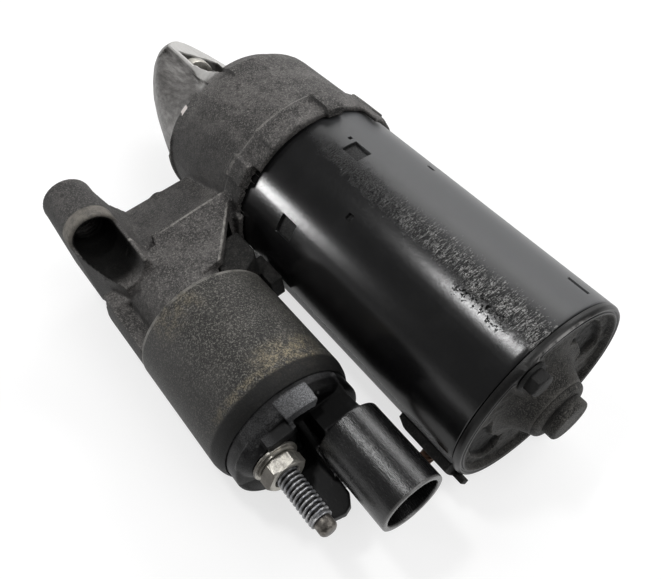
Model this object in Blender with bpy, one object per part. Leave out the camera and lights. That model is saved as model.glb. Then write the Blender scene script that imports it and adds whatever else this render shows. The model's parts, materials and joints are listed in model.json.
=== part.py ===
"""A car starter motor with a reduction gear and a piggyback solenoid, built piece by piece.

Sizes are in millimetres and become metres as each mesh is made. X runs along the motor axis with +X to the
rear cover, X = 0 is the rear edge of the yoke, and the solenoid lies beside the motor at -Y. At the end the
whole assembly is turned about X so that yoke and solenoid both rest on the ground.
"""
import math

import bmesh
import bpy
from mathutils import Matrix, Vector

MM = 0.001

# Facets and clearances
ROUND_STEPS = 40
MEDIUM_STEPS = 24
SMALL_STEPS = 16
FIT = 0.3
RUN = 0.4
SLIP = 0.1
SHADE_ANGLE = 35.0

# Yoke, magnets and armature
YOKE_RADIUS = 38.0
YOKE_WALL = 3.0
YOKE_LENGTH = 126.0
MAGNETS = 4
MAGNET_THICKNESS = 4.4
MAGNET_ARC = 66.0
MAGNET_LENGTH = 54.0
AIR_GAP = 1.5
ARMATURE_LENGTH = 50.0
ARMATURE_REAR = -37.0
ARMATURE_SLOTS = 12
SLOT_DEPTH = 9.0
SLOT_WIDTH = 3.4
WINDING_OVERHANG = 8.0
ARMATURE_SHAFT_RADIUS = 6.0
JOURNAL_RADIUS = 5.0
COMMUTATOR_RADIUS = 16.0
COMMUTATOR_LENGTH = 18.0
COMMUTATOR_BARS = 16
COMMUTATOR_GROOVE = 1.2
DIMPLE_DEPTH = 0.8

# Rear cover and through bolts
COVER_RIM = 2.9
COVER_SPIGOT = 4.0
COVER_WALL = 3.6
COVER_DISH = 1.9
BOSS_RADIUS = 15.5
BOSS_HEIGHT = 6.5
KNOB_RADIUS = 11.5
KNOB_HEIGHT = 6.6
REAR_BUSH_RADIUS = 8.5
BOLT_RADIUS = 2.4
BOLT_ANGLE = 112.0
BOLT_HEAD_FLATS = 8.0
BOLT_HEAD_HEIGHT = 5.0
BOLT_PAD_RADIUS = 6.2
BOLT_GRIP = 10.0

# Brush gear
BRUSHES = 4
BRUSH_WIDTH = 7.0
BRUSH_DEPTH = 9.5
BRUSH_LENGTH = 9.5
BRUSH_WALL = 1.6
BRUSH_PLATE = 3.2
BRUSH_SPRING_RADIUS = 2.4

# Reduction gear
MODULE = 1.25
SUN_TEETH = 11
PLANET_TEETH = 16
PLANETS = 3
PRESSURE_ANGLE = 20.0
TOOTH_SLACK = 0.26
ADDENDUM = 0.85
DEDENDUM = 1.2
GEAR_WIDTH = 12.0
GEAR_SEAT = 7.0
CASE_WALL = 4.5
CARRIER_RADIUS = 24.0
CARRIER_THICKNESS = 4.3
PIN_RADIUS = 3.0
GEAR_COVER = 2.0
CENTRE_BUSH_RADIUS = 10.0

# Output shaft, clutch and pinion
OUTPUT_RADIUS = 6.5
NOSE_JOURNAL_RADIUS = 5.2
NOSE_BUSH_RADIUS = 7.6
NOSE_BUSH_LENGTH = 10.0
NOSE_BUSH_LEAD = 2.0
PILOT_RADIUS = 3.5
PILOT_LENGTH = 10.0
PINION_TEETH = 10
PINION_MODULE = 2.12
PINION_FRONT = -206.0
PINION_LENGTH = 20.0
PINION_NECK_RADIUS = 9.0
RACE_RADIUS = 13.5
CLUTCH_RADIUS = 24.0
CLUTCH_LENGTH = 11.5
CLUTCH_WALL = 2.0
SLEEVE_RADIUS = 12.0
SLEEVE_FLANGE_RADIUS = 15.5
SLEEVE_FLANGE = 2.0
FORK_GROOVE = 11.8
DRIVE_TRAVEL = 13.0
STOP_RADIUS = 10.0
STOP_LENGTH = 4.6

# Drive housing
COLLAR_WALL = 2.6
COLLAR_COVER = 6.5
COLLAR_LENGTH = 12.5
DRUM_STEP = 0.6
DRUM_DEPTH = 43.2
DRUM_WALL = 4.9
NOSE_LENGTH = 72.0
NOSE_FLAT = 10.0
NOSE_FLAT_ANGLE = 48.0
PINION_BORE = 15.5
WINDOW_LENGTH = 50.0
ARM_FRONT = 30.5
ARM_FRONT_TOP = 4.0
ARM_REAR_TOP = 15.0
ARM_BOTTOM = -13.0
ROOF_HEIGHT = 19.0
ROOF_WALL = 3.5
WEB_BOTTOM = -12.4
WEB_LENGTH = 28.5
BOSS_OUT = 15.0
BOSS_Z = 25.0
EYE_RADIUS = 9.7
EYE_FRONT = -165.0
EYE_LENGTH = 21.0
EYE_BORE = 5.6
TROUGH_RADIUS = 8.0
TROUGH_LENGTH = 27.0
TROUGH_TAPER = 8.2
EAR_Y = 48.0
EAR_Z = -30.0
EAR_RADIUS = 10.0
EAR_THICKNESS = 13.0
EAR_BORE = 6.5
EAR_WEB = 15.0

# Lever
LEVER_PIVOT_X = -135.3
LEVER_PIVOT_OUT = 5.0
LEVER_BOSS_RADIUS = 6.3
LEVER_HALF_WIDTH = 7.0
LEVER_THICKNESS = 5.0
FORK_HALF_WIDTH = 15.4
FORK_ARM = 2.8
SHOE_RADIUS = 4.5
TINE_INNER = 4.2
TINE_RADIUS = 2.7
LEVER_PIN_RADIUS = 3.0
LEVER_PIN_REACH = 10.6

# Solenoid
AXIS_GAP = 7.0
SOLENOID_RADIUS = 27.0
SOLENOID_FRONT = -95.2
SOLENOID_LENGTH = 52.2
CAN_WALL = 2.1
CAN_FRONT_WALL = 3.7
CAN_ROLL = 5.4
PLUNGER_RADIUS = 9.3
PLUNGER_NECK_RADIUS = 3.5
PLUNGER_NECK = 10.6
PLUNGER_HEAD_RADIUS = 7.2
PLUNGER_HEAD = 4.0
PLUNGER_COLLAR_RADIUS = 13.0
PLUNGER_COLLAR = 3.0
PLUNGER_TRAVEL = 9.0
CHAMBER_RADIUS = 16.5
CHAMBER_WALL = 3.5
SEAT_RADIUS = 26.7
SEAT_DEPTH = 30.5
SEAT_TOP = 10.0
BOBBIN_LENGTH = 28.0
BOBBIN_FLANGE = 1.5
COIL_RADIUS = 22.0
CORE_THICKNESS = 7.5
CORE_NOSE = 4.0
RETURN_WIRE = 0.9
RETURN_TURNS = 6
SCREW_RADIUS = 2.5
SCREW_HEAD_RADIUS = 4.3
SCREW_HEAD = 4.0
SCREW_CIRCLE = 20.6
SCREW_ANGLES = (-60.0, -120.0)

# Terminal cap
CAP_DEPTH = 11.5
CAP_WALL = 3.1
CAP_RIM = 1.8
CAP_END = 5.5
CAP_DRUM = 7.0
SHROUD_Y = 13.0
SHROUD_Z = 7.0
SHROUD_RADIUS = 12.0
SHROUD_WALL = 2.0
SHROUD_END = 5.0
SHROUD_FLOOR = 6.0
STUD_RADIUS = 4.0
STUD_Y = -11.5
STUD_Z = 8.0
STUD_END = -4.0
STUD_HEAD_RADIUS = 6.5
STUD_HEAD = 2.6
STUD_BOSS_RADIUS = 7.5
STUD_BOSS = 2.6
WASHER_RADIUS = 8.2
WASHER = 1.9
NUT_FLATS = 13.0
NUT_HEIGHT = 5.0
MOTOR_STUD_Y = 3.0
MOTOR_STUD_Z = -14.0
MOTOR_STUD_END = -19.0
LUG_THICKNESS = 1.6
BRIDGE_THICKNESS = 2.4
BRIDGE_LAP = 3.0
BRIDGE_TRAVEL = 2.2
ROD_RADIUS = 2.6
CONTACT_WIRE = 0.45
CONTACT_TURNS = 2.5
WALL_THICKNESS = 3.6
BLADE_WIDTH = 6.3
BLADE_THICKNESS = 0.8

# Rubber and lead
SEAL_CLEARANCE = 4.6
SEAL_TAIL = 3.5
SEAL_TAIL_HEIGHT = 5.0
GROMMET_ANGLE = 202.0
GROMMET_ARC = 26.0
GROMMET_LENGTH = 25.0
GROMMET_RISE = 3.2
GROMMET_TAIL = 4.5
LEAD_RADIUS = 2.8
LUG_ANGLE = -20.0
LEAD_ENTRY = 10.0

# Places that follow from the sizes above
YOKE_FRONT = -YOKE_LENGTH
COLLAR_RADIUS = YOKE_RADIUS + COLLAR_WALL
DRUM_RADIUS = YOKE_RADIUS + DRUM_STEP
AXIS_SPACING = YOKE_RADIUS + SOLENOID_RADIUS + AXIS_GAP
SOLENOID_Y = -AXIS_SPACING
BOSS_Y = SOLENOID_Y - BOSS_OUT
LEVER_PIVOT_Y = -YOKE_RADIUS - LEVER_PIVOT_OUT
SEAL_Y = -YOKE_RADIUS - SEAL_CLEARANCE
YOKE_BORE = YOKE_RADIUS - YOKE_WALL
MAGNET_INNER = YOKE_BORE - FIT - MAGNET_THICKNESS
ARMATURE_RADIUS = MAGNET_INNER - AIR_GAP
ARMATURE_FRONT = ARMATURE_REAR - ARMATURE_LENGTH
BOLT_CIRCLE = YOKE_BORE - BOLT_RADIUS - 1.1
COMMUTATOR_FRONT = ARMATURE_REAR + WINDING_OVERHANG + 1.0
COMMUTATOR_REAR = COMMUTATOR_FRONT + COMMUTATOR_LENGTH
COVER_FACE = COVER_RIM - COVER_DISH
BEARING_END = COVER_FACE + BOSS_HEIGHT + KNOB_HEIGHT / 2
CASE_RADIUS = YOKE_BORE - RUN
CASE_FRONT = YOKE_FRONT - GEAR_SEAT
SEAT_X = CASE_FRONT - FIT
CARRIER_FRONT = CASE_FRONT + CASE_WALL + RUN
CARRIER_REAR = CARRIER_FRONT + CARRIER_THICKNESS
PLANET_FRONT = CARRIER_REAR + RUN
PLANET_REAR = PLANET_FRONT + GEAR_WIDTH
CASE_REAR = PLANET_REAR + RUN
RING_TEETH = SUN_TEETH + 2 * PLANET_TEETH
PLANET_CIRCLE = MODULE * (SUN_TEETH + PLANET_TEETH) / 2
DRUM_FRONT = SEAT_X - DRUM_DEPTH
NOSE_TIP = DRUM_FRONT - NOSE_LENGTH
WINDOW_FRONT = DRUM_FRONT - WINDOW_LENGTH
NOSE_BUSH_FRONT = WINDOW_FRONT - NOSE_BUSH_LEAD - NOSE_BUSH_LENGTH
CLUTCH_REAR = CASE_FRONT - 1.2
CLUTCH_BACK = CLUTCH_REAR - SLEEVE_FLANGE - FORK_GROOVE
CLUTCH_FRONT = CLUTCH_BACK - CLUTCH_LENGTH
CLUTCH_ROOM = CLUTCH_FRONT - DRIVE_TRAVEL - 1.0
FORK_X = CLUTCH_BACK + FORK_GROOVE / 2
STOP_REAR = PINION_FRONT - DRIVE_TRAVEL - 1.3
LEVER_LEAN = math.atan2(LEVER_PIVOT_X - FORK_X, -LEVER_PIVOT_Y)
SOLENOID_REAR = SOLENOID_FRONT + SOLENOID_LENGTH
SEAT_FRONT = SOLENOID_FRONT - FIT - SEAT_DEPTH
TINE_X = LEVER_PIVOT_X + math.tan(LEVER_LEAN) * (AXIS_SPACING + LEVER_PIVOT_Y)
NECK_FRONT = TINE_X - PLUNGER_NECK / 2
NECK_REAR = TINE_X + PLUNGER_NECK / 2
BOBBIN_FRONT = SOLENOID_FRONT + CAN_FRONT_WALL + FIT
BOBBIN_REAR = BOBBIN_FRONT + BOBBIN_LENGTH
CORE_FRONT = BOBBIN_REAR + FIT
CORE_REAR = CORE_FRONT + CORE_THICKNESS
PLUNGER_REAR = CORE_FRONT - CORE_NOSE - PLUNGER_TRAVEL - 0.6
CAP_RADIUS = SOLENOID_RADIUS - CAN_WALL - FIT
CAP_FRONT = SOLENOID_REAR - CAP_DEPTH
CAP_FLOOR = CAP_FRONT + CAP_DEPTH + 1.5
CAP_REAR = CAP_FLOOR + CAP_END
STUD_FRONT = CAP_FLOOR - FIT - STUD_HEAD
BRIDGE_REAR = STUD_FRONT - BRIDGE_TRAVEL - FIT
SHROUD_FRONT = CAP_REAR + 2.5
GROMMET_FRONT = -GROMMET_LENGTH
TILT = math.asin((YOKE_RADIUS - SOLENOID_RADIUS) / AXIS_SPACING)

# Finishes: base colour, metallic, roughness
FINISHES = {
    "cast_aluminium": ((0.10, 0.095, 0.09), 0.7, 0.6),
    "black_paint": ((0.015, 0.015, 0.017), 0.1, 0.3),
    "dark_casting": ((0.07, 0.066, 0.062), 0.6, 0.65),
    "grey_steel": ((0.20, 0.185, 0.165), 0.7, 0.5),
    "zinc_steel": ((0.45, 0.45, 0.46), 1.0, 0.35),
    "hard_steel": ((0.35, 0.35, 0.37), 1.0, 0.35),
    "black_plastic": ((0.02, 0.02, 0.022), 0.0, 0.4),
    "rubber": ((0.03, 0.028, 0.027), 0.0, 0.8),
    "copper": ((0.55, 0.25, 0.13), 1.0, 0.4),
    "bronze": ((0.42, 0.27, 0.12), 1.0, 0.45),
    "ferrite": ((0.06, 0.06, 0.065), 0.2, 0.7),
    "carbon": ((0.05, 0.045, 0.045), 0.3, 0.6),
    "lamination": ((0.22, 0.22, 0.23), 0.9, 0.5),
    "gear_plastic": ((0.55, 0.52, 0.45), 0.0, 0.5),
}


def ring(x, radius, steps=ROUND_STEPS, centre=(0.0, 0.0), phase=0.0):
    """Points of a circle square to X."""
    turns = [phase + math.tau * i / steps for i in range(steps)]
    return [(x, centre[0] + radius * math.cos(a), centre[1] + radius * math.sin(a)) for a in turns]


def polar(radius, degrees):
    """A (y, z) point at an angle measured from +Y towards +Z."""
    return radius * math.cos(math.radians(degrees)), radius * math.sin(math.radians(degrees))


def arc(radius, start, stop, steps, centre=(0.0, 0.0)):
    """(y, z) points along an arc, angles in degrees."""
    turns = [start + (stop - start) * i / steps for i in range(steps + 1)]
    return [(centre[0] + polar(radius, a)[0], centre[1] + polar(radius, a)[1]) for a in turns]


def loft(rings, closed=False):
    """A closed mesh through rings of equal point counts, capped at both ends or joined last to first."""
    mesh = bmesh.new()
    rows = [[mesh.verts.new(Vector(point) * MM) for point in points] for points in rings]
    pairs = list(zip(rows, rows[1:]))
    if closed:
        pairs.append((rows[-1], rows[0]))
    else:
        mesh.faces.new(rows[0])
        mesh.faces.new(rows[-1])
    for near, far in pairs:
        for i in range(len(near)):
            j = (i + 1) % len(near)
            mesh.faces.new((near[i], near[j], far[j], far[i]))
    bmesh.ops.recalc_face_normals(mesh, faces=mesh.faces)
    return mesh


def turned(profile, steps=ROUND_STEPS, closed=False, centre=(0.0, 0.0)):
    """A solid of revolution about X from (x, radius) points; closed makes a ring with a bore."""
    return loft([ring(x, radius, steps, centre) for x, radius in profile], closed)


def tube(front, rear, outer, inner, steps=ROUND_STEPS):
    """A plain ring with a bore."""
    return turned([(front, inner), (front, outer), (rear, outer), (rear, inner)], steps, closed=True)


def along_x(outline, front, rear):
    """A prism along X from (y, z) points."""
    return loft([[(x, y, z) for y, z in outline] for x in (front, rear)])


def along_y(outline, low, high):
    """A prism along Y from (x, z) points."""
    return loft([[(x, y, z) for x, z in outline] for y in (low, high)])


def along_z(outline, low, high):
    """A prism along Z from (x, y) points."""
    return loft([[(x, y, z) for x, y in outline] for z in (low, high)])


def block(xs, ys, zs):
    """A box from three (low, high) pairs."""
    return along_x([(ys[0], zs[0]), (ys[1], zs[0]), (ys[1], zs[1]), (ys[0], zs[1])], *xs)


def turn_about_x(mesh, degrees):
    """Turn a mesh about the X axis."""
    mesh.transform(Matrix.Rotation(math.radians(degrees), 4, "X"))
    return mesh


def hexagon(front, rear, flats, centre=(0.0, 0.0)):
    """A hexagonal prism by its width across flats."""
    corner = flats / 2 / math.cos(math.pi / 6)
    return loft([ring(x, corner, 6, centre) for x in (front, rear)])


def sweep(points, radius, sides):
    """A round tube along a path of points, with flat ends square to the path."""
    path = [Vector(point) for point in points]
    side = (path[1] - path[0]).orthogonal().normalized()
    rings = []
    for i, point in enumerate(path):
        heading = (path[min(i + 1, len(path) - 1)] - path[max(i - 1, 0)]).normalized()
        side = (side - heading * side.dot(heading)).normalized()
        other = heading.cross(side)
        turns = [math.tau * k / sides for k in range(sides)]
        rings.append([tuple(point + radius * (side * math.cos(a) + other * math.sin(a))) for a in turns])
    return loft(rings)


def helix(front, rear, radius, turns, wire, curl_points=8):
    """Path of a compression spring along X whose end coils lie inside the given length."""
    count = int(turns * curl_points)
    first = front + wire
    rise = (rear - front - 2 * wire) / count
    steps = [math.tau * i / curl_points for i in range(count + 1)]
    return [(first + rise * i, radius * math.cos(a), radius * math.sin(a)) for i, a in enumerate(steps)]


def print_least_gap(name, points, wire, curl_points=8):
    """Measure how close a spring's coils come to each other and print it."""
    path = [Vector(point) for point in points]
    apart = curl_points // 2
    pairs = ((a, b) for a in range(len(path)) for b in range(a + apart, len(path)))
    least = min((path[a] - path[b]).length for a, b in pairs) - 2 * wire
    print(f"{name}: least gap between coils {least:.2f} mm")


def involute(radius, base):
    """Involute angle at a radius, zero inside the base circle."""
    if radius <= base:
        return 0.0
    return math.sqrt((radius / base) ** 2 - 1) - math.acos(base / radius)


def gear_outline(teeth, module, slack, rise=ADDENDUM, drop=DEDENDUM, phase=0.0, fine=False):
    """(y, z) outline of a gear with a tooth centred on the phase angle; fine adds the pitch point."""
    pitch = teeth * module / 2
    base = pitch * math.cos(math.radians(PRESSURE_ANGLE))
    half = (math.pi * module / 2 - slack) / (2 * pitch) + involute(pitch, base)
    radii = [pitch - drop * module, pitch, pitch + rise * module]
    if not fine:
        radii.remove(pitch)
    flank = [(radius, half - involute(radius, base)) for radius in radii]
    outline = []
    for tooth in range(teeth):
        middle = phase + math.tau * tooth / teeth
        sides = [(r, middle - a) for r, a in flank] + [(r, middle + a) for r, a in reversed(flank)]
        outline.extend((r * math.cos(a), r * math.sin(a)) for r, a in sides)
    return outline


def at_x(outline, x):
    """Place a (y, z) outline at one X."""
    return [(x, y, z) for y, z in outline]


def slotted_outline(count, outer, inner, width):
    """(y, z) outline of a round body with radial slots open to the outside."""
    outline = []
    for i in range(count):
        middle = math.tau * (i + 0.5) / count
        wide = math.asin(width / 2 / outer)
        deep = math.asin(width / 2 / inner)
        turns = [(outer, middle - wide), (inner, middle - deep), (inner, middle + deep),
                 (outer, middle + wide)]
        crest = math.tau * (i + 1) / count
        turns.append((outer, crest))
        outline.extend((r * math.cos(a), r * math.sin(a)) for r, a in turns)
    return outline


def finish(name):
    """The material of one finish, made on first use."""
    material = bpy.data.materials.get(name)
    if material is None:
        colour, metallic, roughness = FINISHES[name]
        material = bpy.data.materials.new(name)
        material.use_nodes = True
        shader = material.node_tree.nodes["Principled BSDF"]
        shader.inputs["Base Color"].default_value = (*colour, 1.0)
        shader.inputs["Metallic"].default_value = metallic
        shader.inputs["Roughness"].default_value = roughness
    return material


def place(name, mesh, at=(0.0, 0.0, 0.0)):
    """An object from a mesh, with its origin at a point of the assembly."""
    data = bpy.data.meshes.new(name)
    mesh.to_mesh(data)
    mesh.free()
    piece = bpy.data.objects.new(name, data)
    piece.location = Vector(at) * MM
    bpy.context.collection.objects.link(piece)
    return piece


def make(name, mesh, material, at=(0.0, 0.0, 0.0), turn=0.0):
    """One named piece of the starter motor with its finish."""
    piece = place(name, mesh, at)
    piece.rotation_euler[0] = math.radians(turn)
    piece.data.materials.append(finish(material))
    return piece


def combine(piece, mesh, operation, at=(0.0, 0.0, 0.0)):
    """Join or cut a piece with a mesh and keep the result as plain faces."""
    other = place("tool", mesh, at)
    change = piece.modifiers.new("combine", "BOOLEAN")
    change.operation = operation
    change.solver = "EXACT"
    change.object = other
    graph = bpy.context.evaluated_depsgraph_get()
    result = bpy.data.meshes.new_from_object(piece.evaluated_get(graph))
    piece.modifiers.clear()
    old = piece.data
    piece.data = result
    name = old.name
    bpy.data.meshes.remove(old)
    result.name = name
    bpy.data.objects.remove(other)


def fuse(piece, mesh, at=(0.0, 0.0, 0.0)):
    combine(piece, mesh, "UNION", at)


def cut(piece, mesh, at=(0.0, 0.0, 0.0)):
    combine(piece, mesh, "DIFFERENCE", at)


def bolt_points():
    """(y, z) places of the two through bolts."""
    return [polar(BOLT_CIRCLE, BOLT_ANGLE), polar(BOLT_CIRCLE, BOLT_ANGLE + 180.0)]


def bolt_notches(piece, front, rear):
    """Open notches at the rim of a disc for the through bolts."""
    reach = BOLT_RADIUS + RUN
    for turn in (BOLT_ANGLE, BOLT_ANGLE + 180.0):
        notch = block((front, rear), (BOLT_CIRCLE - reach, YOKE_RADIUS), (-reach, reach))
        cut(piece, turn_about_x(notch, turn))


def field_frame():
    yoke = make("field_frame", tube(YOKE_FRONT, 0.0, YOKE_RADIUS, YOKE_BORE), "black_paint")
    # Pressed dimples: place along X, angle, length along X and width around the tube
    dimples = ((-97.5, 83.5, 9.0, 6.8), (-97.0, 144.0, 8.4, 8.2), (-76.8, 114.7, 2.7, 2.6),
               (-104.7, 79.3, 1.6, 1.6),
               (-78.7, 51.3, 3.4, 2.0), (-8.7, 53.8, 8.4, 2.0))
    floor = YOKE_RADIUS - DIMPLE_DEPTH
    for x, angle, length, width in dimples:
        press = block((x - length / 2, x + length / 2), (floor, YOKE_RADIUS + YOKE_WALL),
                      (-width / 2, width / 2))
        cut(yoke, turn_about_x(press, angle))
    half = math.radians(GROMMET_ARC / 2) * YOKE_RADIUS + FIT
    slot = block((GROMMET_FRONT - FIT, COVER_RIM), (YOKE_BORE - YOKE_WALL, YOKE_RADIUS + YOKE_WALL),
                 (-half, half))
    cut(yoke, turn_about_x(slot, GROMMET_ANGLE))


def magnets():
    front = (ARMATURE_FRONT + ARMATURE_REAR - MAGNET_LENGTH) / 2
    rear = front + MAGNET_LENGTH
    steps = 10
    section = ((front, MAGNET_INNER), (front, YOKE_BORE - FIT), (rear, YOKE_BORE - FIT),
               (rear, MAGNET_INNER))
    for i in range(MAGNETS):
        middle = BOLT_ANGLE + 360.0 / MAGNETS * (i + 0.5)
        turns = [middle + MAGNET_ARC * (k / steps - 0.5) for k in range(steps + 1)]
        rings = [[(x, *polar(radius, turn)) for x, radius in section] for turn in turns]
        make(f"pole_magnet_{i + 1}", loft(rings), "ferrite")


def end_cover():
    face = COVER_FACE
    inner = face - COVER_WALL
    rim = YOKE_RADIUS
    boss = face + BOSS_HEIGHT
    knob = boss + KNOB_HEIGHT
    spigot = YOKE_BORE - FIT
    bore = REAR_BUSH_RADIUS + FIT
    outside = [(-COVER_SPIGOT, spigot), (FIT, spigot), (FIT, rim), (COVER_RIM - 1.1, rim),
               (COVER_RIM, rim - 1.3),
               (COVER_RIM, rim - 3.0), (face, rim - 4.4), (face, BOSS_RADIUS + 2.0), (face + 2.0,
                                                                                      BOSS_RADIUS),
               (boss - 2.0, BOSS_RADIUS - 1.0), (boss, KNOB_RADIUS + 0.8), (knob - 1.6, KNOB_RADIUS),
               (knob, KNOB_RADIUS - 2.0)]
    cover = make("end_cover", turned(outside), "dark_casting")
    for turn in (BOLT_ANGLE, BOLT_ANGLE + 180.0):
        pocket = along_x(arc(BOSS_RADIUS + 4.5, -26.0, 26.0, 5) + arc(rim - 6.5, 30.0, -30.0, 7),
                         face - 1.8, COVER_RIM + 6.0)
        cut(cover, turn_about_x(pocket, turn + 90.0))
        rib = block((inner + 1.0, face + 3.0), (BOSS_RADIUS - 4.0, BOLT_CIRCLE - BOLT_PAD_RADIUS - FIT),
                    (-5.0, 5.0))
        fuse(cover, turn_about_x(rib, turn))
    for y, z in bolt_points():
        pad = turned([(FIT + SLIP, BOLT_PAD_RADIUS), (COVER_RIM + RUN, BOLT_PAD_RADIUS)], SMALL_STEPS,
                     centre=(y, z))
        fuse(cover, pad)
        hole = turned([(-COVER_SPIGOT - 1.0, BOLT_RADIUS + FIT), (COVER_RIM + 9.0, BOLT_RADIUS + FIT)],
                      SMALL_STEPS,
                      centre=(y, z))
        cut(cover, hole)
    cut(cover, turned([(-COVER_SPIGOT - 1.0, spigot - YOKE_WALL), (inner, spigot - YOKE_WALL)]))
    cut(cover, turned([(inner - 1.0, bore), (BEARING_END + FIT, bore)], MEDIUM_STEPS))
    bush = tube(inner + FIT, BEARING_END, REAR_BUSH_RADIUS, JOURNAL_RADIUS + FIT, SMALL_STEPS)
    make("rear_bush", bush, "bronze")


def through_bolts():
    seat = COVER_RIM + RUN + FIT
    for i, (y, z) in enumerate(bolt_points()):
        shank = turned([(SEAT_X - BOLT_GRIP, BOLT_RADIUS), (seat, BOLT_RADIUS),
                        (seat, BOLT_PAD_RADIUS - 0.4),
                        (seat + 1.2, BOLT_PAD_RADIUS - 0.6), (seat + 1.2, BOLT_RADIUS)], SMALL_STEPS)
        bolt = make(f"through_bolt_{i + 1}", shank, "grey_steel", (0.0, y, z))
        head = hexagon(seat + 0.6, seat + BOLT_HEAD_HEIGHT, BOLT_HEAD_FLATS)
        fuse(bolt, head, (0.0, y, z))


def brush_gear():
    rear = -COVER_SPIGOT - FIT
    front = rear - BRUSH_PLATE
    brush_inner = COMMUTATOR_RADIUS + FIT
    brush_outer = brush_inner + BRUSH_LENGTH
    stop = YOKE_BORE - RUN - 2.0
    lane = BRUSH_WIDTH / 2 + FIT
    depth = (front - FIT - BRUSH_DEPTH, front - FIT)
    plate = make("brush_plate", tube(front, rear, YOKE_BORE - RUN, COMMUTATOR_RADIUS + 2.0), "gear_plastic")
    bolt_notches(plate, front - 1.0, rear + 1.0)
    for i in range(BRUSHES):
        turn = BOLT_ANGLE + 360.0 / BRUSHES * (i + 0.5)
        reach = (COMMUTATOR_RADIUS + 2.6, stop + 1.4)
        for side in (-1, 1):
            wall = sorted((side * lane, side * (lane + BRUSH_WALL)))
            fuse(plate, turn_about_x(block((depth[0], rear - 1.0), reach, wall), turn))
        back = block((depth[0], rear - 1.0), (stop, stop + 1.4), (-lane - 0.5, lane + 0.5))
        fuse(plate, turn_about_x(back, turn))
        brush = block(depth, (brush_inner, brush_outer), (-BRUSH_WIDTH / 2, BRUSH_WIDTH / 2))
        make(f"brush_{i + 1}", brush, "carbon", turn=turn)
        wire = 0.4
        path = helix(brush_outer + FIT, stop - FIT, BRUSH_SPRING_RADIUS, 3, wire)
        middle = (depth[0] + depth[1]) / 2
        outward = [(middle + y, x, z) for x, y, z in path]
        make(f"brush_spring_{i + 1}", sweep(outward, wire, 4), "hard_steel", turn=turn)
        if i == 0:
            print_least_gap("brush_spring", outward, wire)


def armature():
    tip = CARRIER_FRONT - PILOT_LENGTH / 2
    sun_front = PLANET_FRONT - FIT
    sun_rear = CASE_REAR - FIT
    root = MODULE * (SUN_TEETH / 2 - DEDENDUM)
    rear = BEARING_END - 1.0
    profile = [(tip, PILOT_RADIUS), (sun_front, PILOT_RADIUS), (sun_front, root),
               (ARMATURE_FRONT - 12.0, root),
               (ARMATURE_FRONT - 11.0, ARMATURE_SHAFT_RADIUS), (COMMUTATOR_REAR + 1.0,
                                                                ARMATURE_SHAFT_RADIUS),
               (COMMUTATOR_REAR + 2.0, JOURNAL_RADIUS), (rear, JOURNAL_RADIUS)]
    shaft = make("armature_shaft", turned(profile, SMALL_STEPS), "hard_steel")
    fuse(shaft, along_x(gear_outline(SUN_TEETH, MODULE, TOOTH_SLACK), sun_front + SLIP, sun_rear))
    bore = ARMATURE_SHAFT_RADIUS + SLIP
    slots = slotted_outline(ARMATURE_SLOTS, ARMATURE_RADIUS, ARMATURE_RADIUS - SLOT_DEPTH, SLOT_WIDTH)
    core = make("armature_core", along_x(slots, ARMATURE_FRONT, ARMATURE_REAR), "lamination")
    cut(core, turned([(ARMATURE_FRONT - 1.0, bore), (ARMATURE_REAR + 1.0, bore)], SMALL_STEPS))
    winding(bore)
    commutator(bore)


def winding(bore):
    """Copper end turns on both sides of the core, joined by the bars that fill its slots."""
    crown = ARMATURE_RADIUS - 3.0
    ends = ((ARMATURE_FRONT - WINDING_OVERHANG, ARMATURE_FRONT - FIT),
            (ARMATURE_REAR + FIT, ARMATURE_REAR + WINDING_OVERHANG))
    coil = make("armature_winding", tube(*ends[0], crown, bore + 2.0, MEDIUM_STEPS), "copper")
    fuse(coil, tube(*ends[1], crown, bore + 2.0, MEDIUM_STEPS))
    half = SLOT_WIDTH / 2 - FIT
    low = ARMATURE_RADIUS - SLOT_DEPTH + FIT
    for i in range(ARMATURE_SLOTS):
        bar = block((ends[0][1] - 1.0, ends[1][0] + 1.0), (low, crown - 1.0), (-half, half))
        fuse(coil, turn_about_x(bar, 360.0 * (i + 0.5) / ARMATURE_SLOTS))


def commutator(bore):
    bars = slotted_outline(COMMUTATOR_BARS, COMMUTATOR_RADIUS, COMMUTATOR_RADIUS - COMMUTATOR_GROOVE, 0.8)
    body = make("commutator", along_x(bars, COMMUTATOR_FRONT, COMMUTATOR_REAR), "copper")
    cut(body, turned([(COMMUTATOR_FRONT - 1.0, bore), (COMMUTATOR_REAR + 1.0, bore)], SMALL_STEPS))


def planet_angles():
    return [math.radians(BOLT_ANGLE + 60.0) + math.tau * i / PLANETS for i in range(PLANETS)]


def planet_phase(angle):
    """Turn of a planet gear that puts one of its gaps on a sun tooth."""
    nearest = round(angle * SUN_TEETH / math.tau)
    lead = math.tau * nearest / SUN_TEETH - angle
    return angle + math.pi - lead * SUN_TEETH / PLANET_TEETH - math.pi / PLANET_TEETH


def ring_phase():
    """Turn of the ring gear that puts one of its gaps on a tooth of the first planet."""
    angle = planet_angles()[0]
    phase = planet_phase(angle)
    nearest = round((angle - phase) * PLANET_TEETH / math.tau)
    lead = phase + math.tau * nearest / PLANET_TEETH - angle
    return angle + lead * PLANET_TEETH / RING_TEETH


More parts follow.
